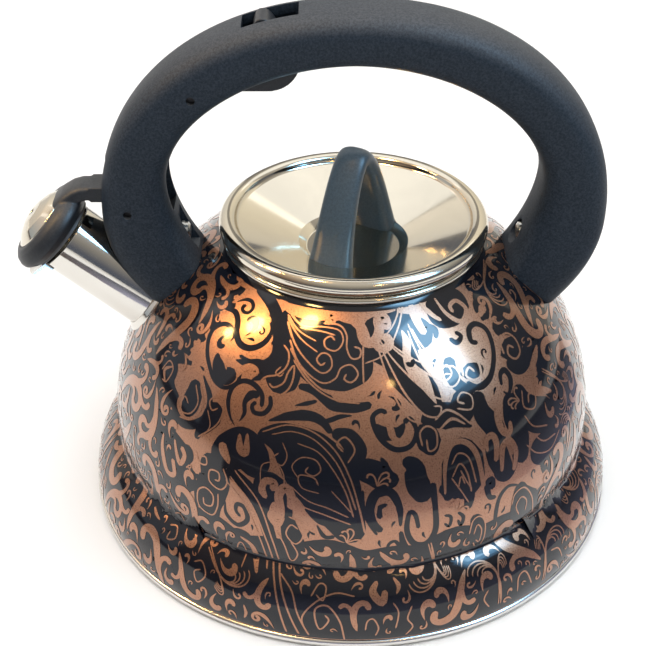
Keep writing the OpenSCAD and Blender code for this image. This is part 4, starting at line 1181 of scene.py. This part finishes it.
def collar():
    """A flared ring that follows the line where the tube meets the dome."""
    y = np.cross(SPOUT_DIR, SPOUT_UP)
    a = np.linspace(0, 2 * np.pi, 128, endpoint=False)[:, None]
    radial = np.cos(a) * SPOUT_UP + np.sin(a) * y
    rings = []
    for r, proud in ((14.03, 0.0), (14.05, 1.55), (14.35, 1.75), (14.8, 1.62), (15.3, 1.2), (15.9, 0.75),
                     (16.4, 0.42), (16.6, 0.1), (16.55, -0.3)):
        start = MOUTH + radial * r
        rings.append(start - SPOUT_DIR * dome_hit(start, -SPOUT_DIR + 0 * start, proud)[:, None])
    k, n = len(rings), len(a)
    faces = [(i * n + j, i * n + (j + 1) % n, (i + 1) * n + (j + 1) % n, (i + 1) * n + j)
             for i in range(k - 1) for j in range(n)]
    obj = mesh_object("spout_collar_flared", np.vstack(rings), faces, 0)
    merge(obj)
    finish_piece(shade(obj, 45), "kettle", SPOUT_STEEL, "polished_steel", "spout_collar")


def dome_solid(name, grow):
    z = np.linspace(CREASE, DOME_TOP + 4, 60)
    r = (DOME_R + grow) * np.sqrt(np.clip(1 - ((z - DOME_MID) / (DOME_RISE + grow)) ** 2, 0, 1))
    return revolve(name, np.vstack([[(0, CREASE)], np.stack([r, z], 1), [(0, z[-1])]]), 192)


# ---------------------------------------------------------------- handle, knob, trigger, cap

def loop_at(t, o):
    """A point (x, z) of one outline of the handle loop at t, from -1 (front foot) to 1 (rear foot)."""
    a = abs(t)
    th = math.radians(90 * min(1, a / LEG_SHARE))
    g = max(0, a - LEG_SHARE) / (1 - LEG_SHARE)
    power = 2 / o["n"]
    x = o["half"] * math.sin(th) ** power - o["lean"] * g ** o["lean_p"]
    z = o["mid"] + (o["top"] - o["mid"]) * max(0, math.cos(th)) ** power - o["drop"] * g
    return np.array([math.copysign(1, t) * x, z])


def outer_at(t):
    return loop_at(t, HANDLE)


def inner_at(t):
    return loop_at(t, INNER)


def from_outer(t, w):
    o, i = outer_at(t), inner_at(t)
    return o + (i - o) / np.linalg.norm(i - o) * w


def from_inner(t, w):
    o, i = outer_at(t), inner_at(t)
    return i + (o - i) / np.linalg.norm(i - o) * w


def section(o, i, w, n, soft_out, soft_in):
    """A rounded ring between o and i in (x, z), w wide along Y, softer on the outer side."""
    a = np.linspace(0, 2 * np.pi, n, endpoint=False)
    s, c = np.sin(a), np.cos(a)
    p = np.where(s >= 0, 2 / soft_out, 2 / soft_in)
    bend = lambda v: np.sign(v) * np.abs(v) ** p
    m = (o + i) / 2 + (o - i) / 2 * bend(s)[:, None]
    return np.stack([m[:, 0], w / 2 * bend(c), m[:, 1]], 1)


def handle():
    """The loop, cut out for the dome, spout, lever, cap arm, pins and brackets."""
    rings = []
    for t in np.linspace(-1, 1, 190):
        g = max(0, abs(t) - LEG_SHARE) / (1 - LEG_SHARE)
        rings.append(section(outer_at(t), inner_at(t), GRIP_W + FOOT_FLARE * g ** 1.3, 60, 2.7, 3.4))
    loop = loft("handle_loop", rings)
    deg = lambda d: -LEG_SHARE * d / 90
    roof = [from_outer(deg(d), 4) for d in range(13, 91, 7)] + [from_outer(-0.7, 4), from_outer(-0.74, 4)]
    floor = [from_inner(deg(d), -4) for d in range(13, 49, 7)]
    floor += [from_inner(deg(d), 3) for d in range(49, 78, 7)]
    floor += [from_inner(deg(78), -6), from_inner(-0.66, -6), from_inner(-0.72, -6), from_inner(-0.76, 2)]
    cutters = [dome_solid("seat", 0.05),
               rod("spout_way", MOUTH - SPOUT_DIR * 80, MOUTH + SPOUT_DIR * 40, SPOUT_R + 0.4, 96),
               prism("lever_space", roof + floor[::-1], -SLOT_HALF, SLOT_HALF),
               box("window", (-41, -WINDOW_HALF, 194), (-20.5, WINDOW_HALF, 219)),
               box("arm_way", (-104, -SLOT_HALF, 127), (-88, SLOT_HALF, 152)),
               box("foot_hollow", (-68, -4, 112), (-56, 4, 134))]
    cutters += [cross_rod("pin_hole", pin, PIN_HOLE, steps=32) for pin in (TRIGGER_PIN, CAP_PIN)]
    for side in (-1, 1):  # a pocket for each bracket's tab, and the screw's way in
        lo, hi = sorted((side * 72.2, side * 69.8))
        cutters.append(box("tab_slot", (lo, -5.7, 92), (hi, 5.7, 123.2)))
        cutters.append(rod("screw_way", (side * 67, 0, 117.5), (side * 37, 0, 117.5), 4.6, 40))
    cut(loop, *cutters)
    bevel = loop.modifiers.new("edge", "BEVEL")
    bevel.limit_method, bevel.angle_limit = "ANGLE", math.radians(48)
    bevel.width, bevel.segments, bevel.use_clamp_overlap = 0.5 * MM, 2, True
    evaluated(loop)
    finish_piece(shade(loop, 42), "kettle", GRIP, "black_nylon", "handle_body")


def knob():
    """A strap arch turned 62 degrees about Z, cut to sit in the lid's recess."""
    rings = []
    for a in np.radians(np.linspace(0, 180, 90)):
        low = 1 - math.sin(a)
        thick, wide = 7 + 3.4 * low, 12.5 + 8 * low
        c = np.array([-20.5 * math.cos(a), 42 * (1 - abs(math.cos(a)) ** 1.8) + 108])
        u = np.array([-math.cos(a) * 2.6, math.sin(a)])
        u /= np.linalg.norm(u)
        rings.append(section(c + u * thick / 2, c - u * thick / 2, wide, 44, 2.4, 3.0))
    turn = math.radians(62)
    c, s = math.cos(turn), math.sin(turn)
    r = np.array(rings)
    r = np.stack([r[..., 0] * c - r[..., 1] * s, r[..., 0] * s + r[..., 1] * c, r[..., 2]], -1)
    piece = loft("knob_arch", r)
    seat = revolve("c", [(0, 100), (0, 111.02), (18.2, 111.02), (21.6, 113.8), (30, 117.3), (30, 100)], 96)
    cut(piece, seat)
    finish_piece(shade(piece, 40), "lid", KNOB, "black_nylon", "lid_knob")


def trigger():
    """The lever: finger pad below, hump in the window, and a nose that reaches down to the cap's tail."""
    pad_end = arc_points((-32, 179.4), (-20.3, 188.5), 2.6, 10)
    hump = smooth([(-25.5, 196.2), (-27.2, 200.5), (-29.6, 204.6), (-31.6, 206.7), (-33.6, 207.3),
                   (-35.4, 206.6), (-36.6, 204.4), (-37.4, 200)], 0.5)
    pad = [(-57, 176), (-45, 179.4), *pad_end, (-20, 194), *hump, (-37.4, 196), (-48, 189.5), (-58, 186)]
    nose = [(-60, 185.4), (-64.6, 182), (-72, 174.5), (-82, 162), (-89.6, 150), (-91.2, 144.5),
            (-87.2, 144.5), (-84.6, 150), (-77.5, 159), (-64, 176.5), (-57, 174.6)]
    near, nose_far, hub_r, tip, tip_r = -LEVER_HALF, 0.5, 5.5, (-89.2, 144.5), 2
    lever = melt(prism("trigger_moulded", pad, near, LEVER_HALF),
                 [prism("nose", nose, near, nose_far),
                  cross_rod("hub", TRIGGER_PIN, hub_r, near, LEVER_HALF),
                  cross_rod("tip", tip, tip_r, near, nose_far)], 0.45, 4)
    cut(lever, cross_rod("bore", TRIGGER_PIN, LEVER_BORE))
    finish_piece(shade(lever, 60), "trigger", CAP, "black_nylon", "trigger_lever")


def whistle_cap():
    """Cup, arm and hub moulded in one, with softened edges."""
    cup = fillet([(11, 1.5), (16.3, 1.5), (19.3, 4.4), (19.2, 6.6), (18.0, 9.0), (15.4, 10.8), (13.6, 10.8),
                  (13.6, 9.7), (11, 9.7)], [0, 1.5, 2, 2.5, 2.5, 1.4, 0.4, 0, 0], 5)
    piece = at_mouth(revolve("whistle_cap_moulded", cup, 128))
    z0, z1, near, far, hub_far = 133.4, 139.6, -6, 6, 0.6
    hub_x, hub_z = CAP_PIN
    parts = [prism("link", [(-93, z0), (-93, 137.6), (hub_x, 137.9), (hub_x, z0)], near, hub_far),
             box("root", (-101, near, z0), (-92.6, far, z1)), cross_rod("hub", CAP_PIN, 5.4, near, hub_far),
             box("tail", (-86.4, near, hub_z), (-82.8, hub_far, 144.5))]
    rings = []
    # Along the arm: middle (x, z), height, width and slope in degrees
    for x, z, h, w, slope in ((-98, 136.5, 6.2, 12, 0), (-101, 136.7, 6.3, 12.2, -2),
                              (-104, 136.6, 6.4, 12.8, -10), (-107, 135.5, 6.6, 13.6, -24),
                              (-110, 133.4, 6.8, 14.6, -38), (-113, 130.8, 6.6, 15.6, -44),
                              (-116, 127.9, 5.6, 16, -48)):
        d = np.array([math.sin(math.radians(slope)), math.cos(math.radians(slope))])
        c = np.array([x, z])
        rings.append(section(c + d * h / 2, c - d * h / 2, w, 32, 3.2, 4))
    parts.append(loft("arm", rings))
    melt(piece, parts, 0.45, 4)
    cut(piece, cross_rod("bore", CAP_PIN, LEVER_BORE))
    finish_piece(shade(piece, 60), "cap", CAP, "black_nylon", "whistle_cap")


# ---------------------------------------------------------------- stage, light and camera

def flag_wall():
    """A low bluish curtain round the front of the table, seen only in reflections, as a dim room would be."""
    path = smooth([(-330, -250), (-138, -195), (-73, -221), (8, -214), (71, -220), (121, -186), (161, -128),
                   (178, -60), (186, 0), (190, 60)], 6)
    foot, top = 0.5, 64.0
    n = len(path)
    obj = mesh_object("flag_curtain", [(x, y, z) for x, y in path for z in (foot, top)],
                      [(2 * i, 2 * i + 1, 2 * i + 3, 2 * i + 2) for i in range(n - 1)], 0)
    m = Nodes("flag_cloth")
    height = m.node("SeparateXYZ", Vector=m.coord).outputs["Z"]
    blue = m.ramp(m.times(height, 1 / (top * MM)),
                  (0.0, (0.44, 0.44, 0.60)), (0.45, (0.30, 0.30, 0.38)), (1.0, (0.09, 0.09, 0.11)))
    west = m.times(m.node("SeparateXYZ", Vector=m.coord).outputs["X"], -5.0)
    glow = m.mix(m.ramp(west, (0.5, 0.0), (0.9, 1.0)), blue, (0.09, 0.065, 0.05))
    m.set(Base_Color=(0, 0, 0, 1), Emission_Color=glow, Emission_Strength=1.0, Roughness=0.9)
    obj.data.materials.append(m.mat)
    obj.visible_camera = obj.visible_diffuse = obj.visible_shadow = obj.visible_transmission = False


def floor():
    m = Nodes("floor_pale")
    n = m.noise(9, 3)
    m.set(Base_Color=m.mix(n, (0.86, 0.86, 0.86), (0.90, 0.90, 0.895)),
          Roughness=m.ramp(n, (0, 0.7), (1, 0.85)))
    f = 3000
    obj = mesh_object("floor", [(-f, -f, 0), (f, -f, 0), (f, f, 0), (-f, f, 0)], [(0, 1, 2, 3)], 0)
    obj.data.materials.append(m.mat)


def area(name, at_m, aim_m, size_m, radiance, tint, shape="RECTANGLE", roll=0.0, spread=180):
    """An area light of a given brightness, facing aim."""
    data = bpy.data.lights.new(name, "AREA")
    data.shape = shape
    data.size, data.size_y = size_m
    across = size_m[0] * size_m[1] * (math.pi / 4 if shape in ("DISK", "ELLIPSE") else 1)
    data.energy, data.color = radiance * math.pi * across, tint
    data.spread = math.radians(spread)
    obj = link(bpy.data.objects.new(name, data))
    obj.location = at_m
    q = (Vector(aim_m) - Vector(at_m)).to_track_quat("-Z", "Y")
    obj.rotation_mode = "QUATERNION"
    obj.rotation_quaternion = q @ Matrix.Rotation(math.radians(roll), 3, "Z").to_quaternion()
    obj.visible_camera = False
    return obj


def seen_from(point_mm, azimuth, elevation, distance_m):
    """A place whose reflection is seen at a point of the dome."""
    a, e = math.radians(azimuth), math.radians(elevation)
    toward = Vector((math.cos(e) * math.cos(a), math.cos(e) * math.sin(a), math.sin(e)))
    return Vector(point_mm) * MM + distance_m * toward


WARM, CREAM, GOLD, COOL = (1.0, 0.60, 0.20), (1.0, 0.95, 0.86), (1.0, 0.90, 0.70), (0.78, 0.91, 1.0)


def lights():
    """Room lamps and a window for the highlights, pale panels for the steel, and fill that only lights."""
    for name, point, az, el, size, radiance in (
            ("lamp_a", (-47, -49, 104), 176, 38, 0.11, 75), ("lamp_b", (-37, -51, 108), 180, 50, 0.19, 80),
            ("lamp_c", (-17, -55, 112), -157, 71, 0.18, 75), ("lamp_d", (12, -73, 97), -65, 48, 0.09, 24)):
        lamp = area(name, seen_from(point, az, el, 1.5), Vector(point) * MM, (size, size * 1.2), radiance,
                    WARM, "ELLIPSE")
        lamp.visible_diffuse = False
    # One window as three panes, one in front of another, so that its reflection fades at the edges
    for name, share, radiance, tint in (("window_edge", 0.94, 3.4, (0.22, 0.58, 1.0)),
                                        ("window_pane", 0.80, 5.5, (0.26, 0.62, 1.0)),
                                        ("window_sky", 0.62, 8.0, (0.50, 0.78, 1.0))):
        window = area(name, seen_from((25, -64, 100), -23, 51, 1.2 - 0.01 * share), (0.02, -0.06, 0.1),
                      (1.15 * share, 0.52 * share), radiance, tint, roll=80)
        window.visible_diffuse = False
    panels = [area("back_left", (-0.9, 1.0, 0.55), (0, 0, 0.1), (1.5, 1.2), 0.66, CREAM),
              area("back_right", (0.8, 1.05, 0.55), (0, 0, 0.1), (1.4, 1.2), 0.64, GOLD),
              area("ceiling", (-0.1, 0.7, 1.35), (0, 0.05, 0.1), (1.9, 0.9), 0.80, (0.95, 0.98, 1.0)),
              area("side_left", (-1.3, 0.0, 0.6), (0, 0, 0.1), (0.9, 1.0), 0.45, COOL)]
    for panel in panels:
        panel.visible_diffuse = False
    for name, at, size, radiance, tint in (
            ("fill_top", (0.0, -0.05, 1.7), (2.8, 2.4), 2.35, (0.97, 0.985, 1.0)),
            ("fill_front", (0.5, -1.4, 1.5), (1.2, 1.0), 0.25, (0.80, 0.92, 1.0))):
        area(name, at, (0, 0, 0.05), size, radiance, tint).visible_glossy = False


def world():
    """A room that is dim and bluish low down, warm and brighter overhead, and browner toward -X."""
    w = bpy.data.worlds.new("room")
    w.use_nodes = True
    tree = w.node_tree
    add = lambda kind: tree.nodes.new("ShaderNode" + kind)
    coord, split, ramp = add("TexCoord"), add("SeparateXYZ"), add("ValToRGB")
    tree.links.new(coord.outputs["Generated"], split.inputs[0])
    tree.links.new(split.outputs["Z"], ramp.inputs["Fac"])
    west, side, tint = add("Math"), add("ValToRGB"), add("Mix")
    west.operation, west.inputs[1].default_value = "MULTIPLY", -1.0
    tree.links.new(split.outputs["X"], west.inputs[0])
    tree.links.new(west.outputs[0], side.inputs["Fac"])
    side.color_ramp.elements[0].position, side.color_ramp.elements[1].position = 0.35, 0.85
    side.color_ramp.elements[0].color, side.color_ramp.elements[1].color = (1, 1, 1, 1), (1.0, 0.72, 0.55, 1)
    tint.data_type, tint.blend_type = "RGBA", "MULTIPLY"
    tint.inputs[0].default_value = 1.0
    tree.links.new(ramp.outputs["Color"], tint.inputs[6])
    tree.links.new(side.outputs["Color"], tint.inputs[7])
    tree.links.new(tint.outputs[2], tree.nodes["Background"].inputs["Color"])
    overhead = (0.66, 0.62, 0.56, 1)
    for place, colour in ((0.12, (0.12, 0.13, 0.16, 1)), (0.42, (0.30, 0.28, 0.25, 1)), (0.95, overhead)):
        ramp.color_ramp.elements.new(place).color = colour
    ramp.color_ramp.elements[0].color = (0.10, 0.115, 0.15, 1)
    ramp.color_ramp.elements[-1].color = overhead
    bpy.context.scene.world = w


def camera():
    data = bpy.data.cameras.new("photo_view")
    data.sensor_width, data.lens = 36.0, 75.29
    obj = link(bpy.data.objects.new("photo_view", data))
    obj.location, obj.rotation_euler = (-0.0119, -0.4567, 0.3907), (math.radians(55.2), 0, 0)
    bpy.context.scene.camera = obj
    bpy.context.scene.view_settings.view_transform = "Standard"
    bpy.context.scene.view_settings.look = "None"


def dress_cad_nodes():
    """Finishes for the CAD parts that are shown as they are."""
    for material, names in (
            (RIM_STEEL, ("capsule_cover", "spout_lip", "lid_skirt", "front_bracket", "rear_bracket")),
            (ZINC, ("handle_screws", "handle_washers", "knob_screws", "knob_washers")),
            (PIN, ("trigger_pin", "cap_pin")), (CORE, ("capsule_core",)), (SPRING, ("cap_spring",)),
            (SEAL, ("cap_seal",)), (MIRROR, ("whistle_rear_disc",))):
        for name in names:
            obj = frame["nodes"][name]
            obj.data.materials.clear()
            obj.data.materials.append(material)


camera()
world()
floor()
flag_wall()
lights()
enamel_shell()
printed_pattern()
base_and_neck()
lid()
spout()
collar()
handle()
knob()
trigger()
whistle_cap()
dress_cad_nodes()
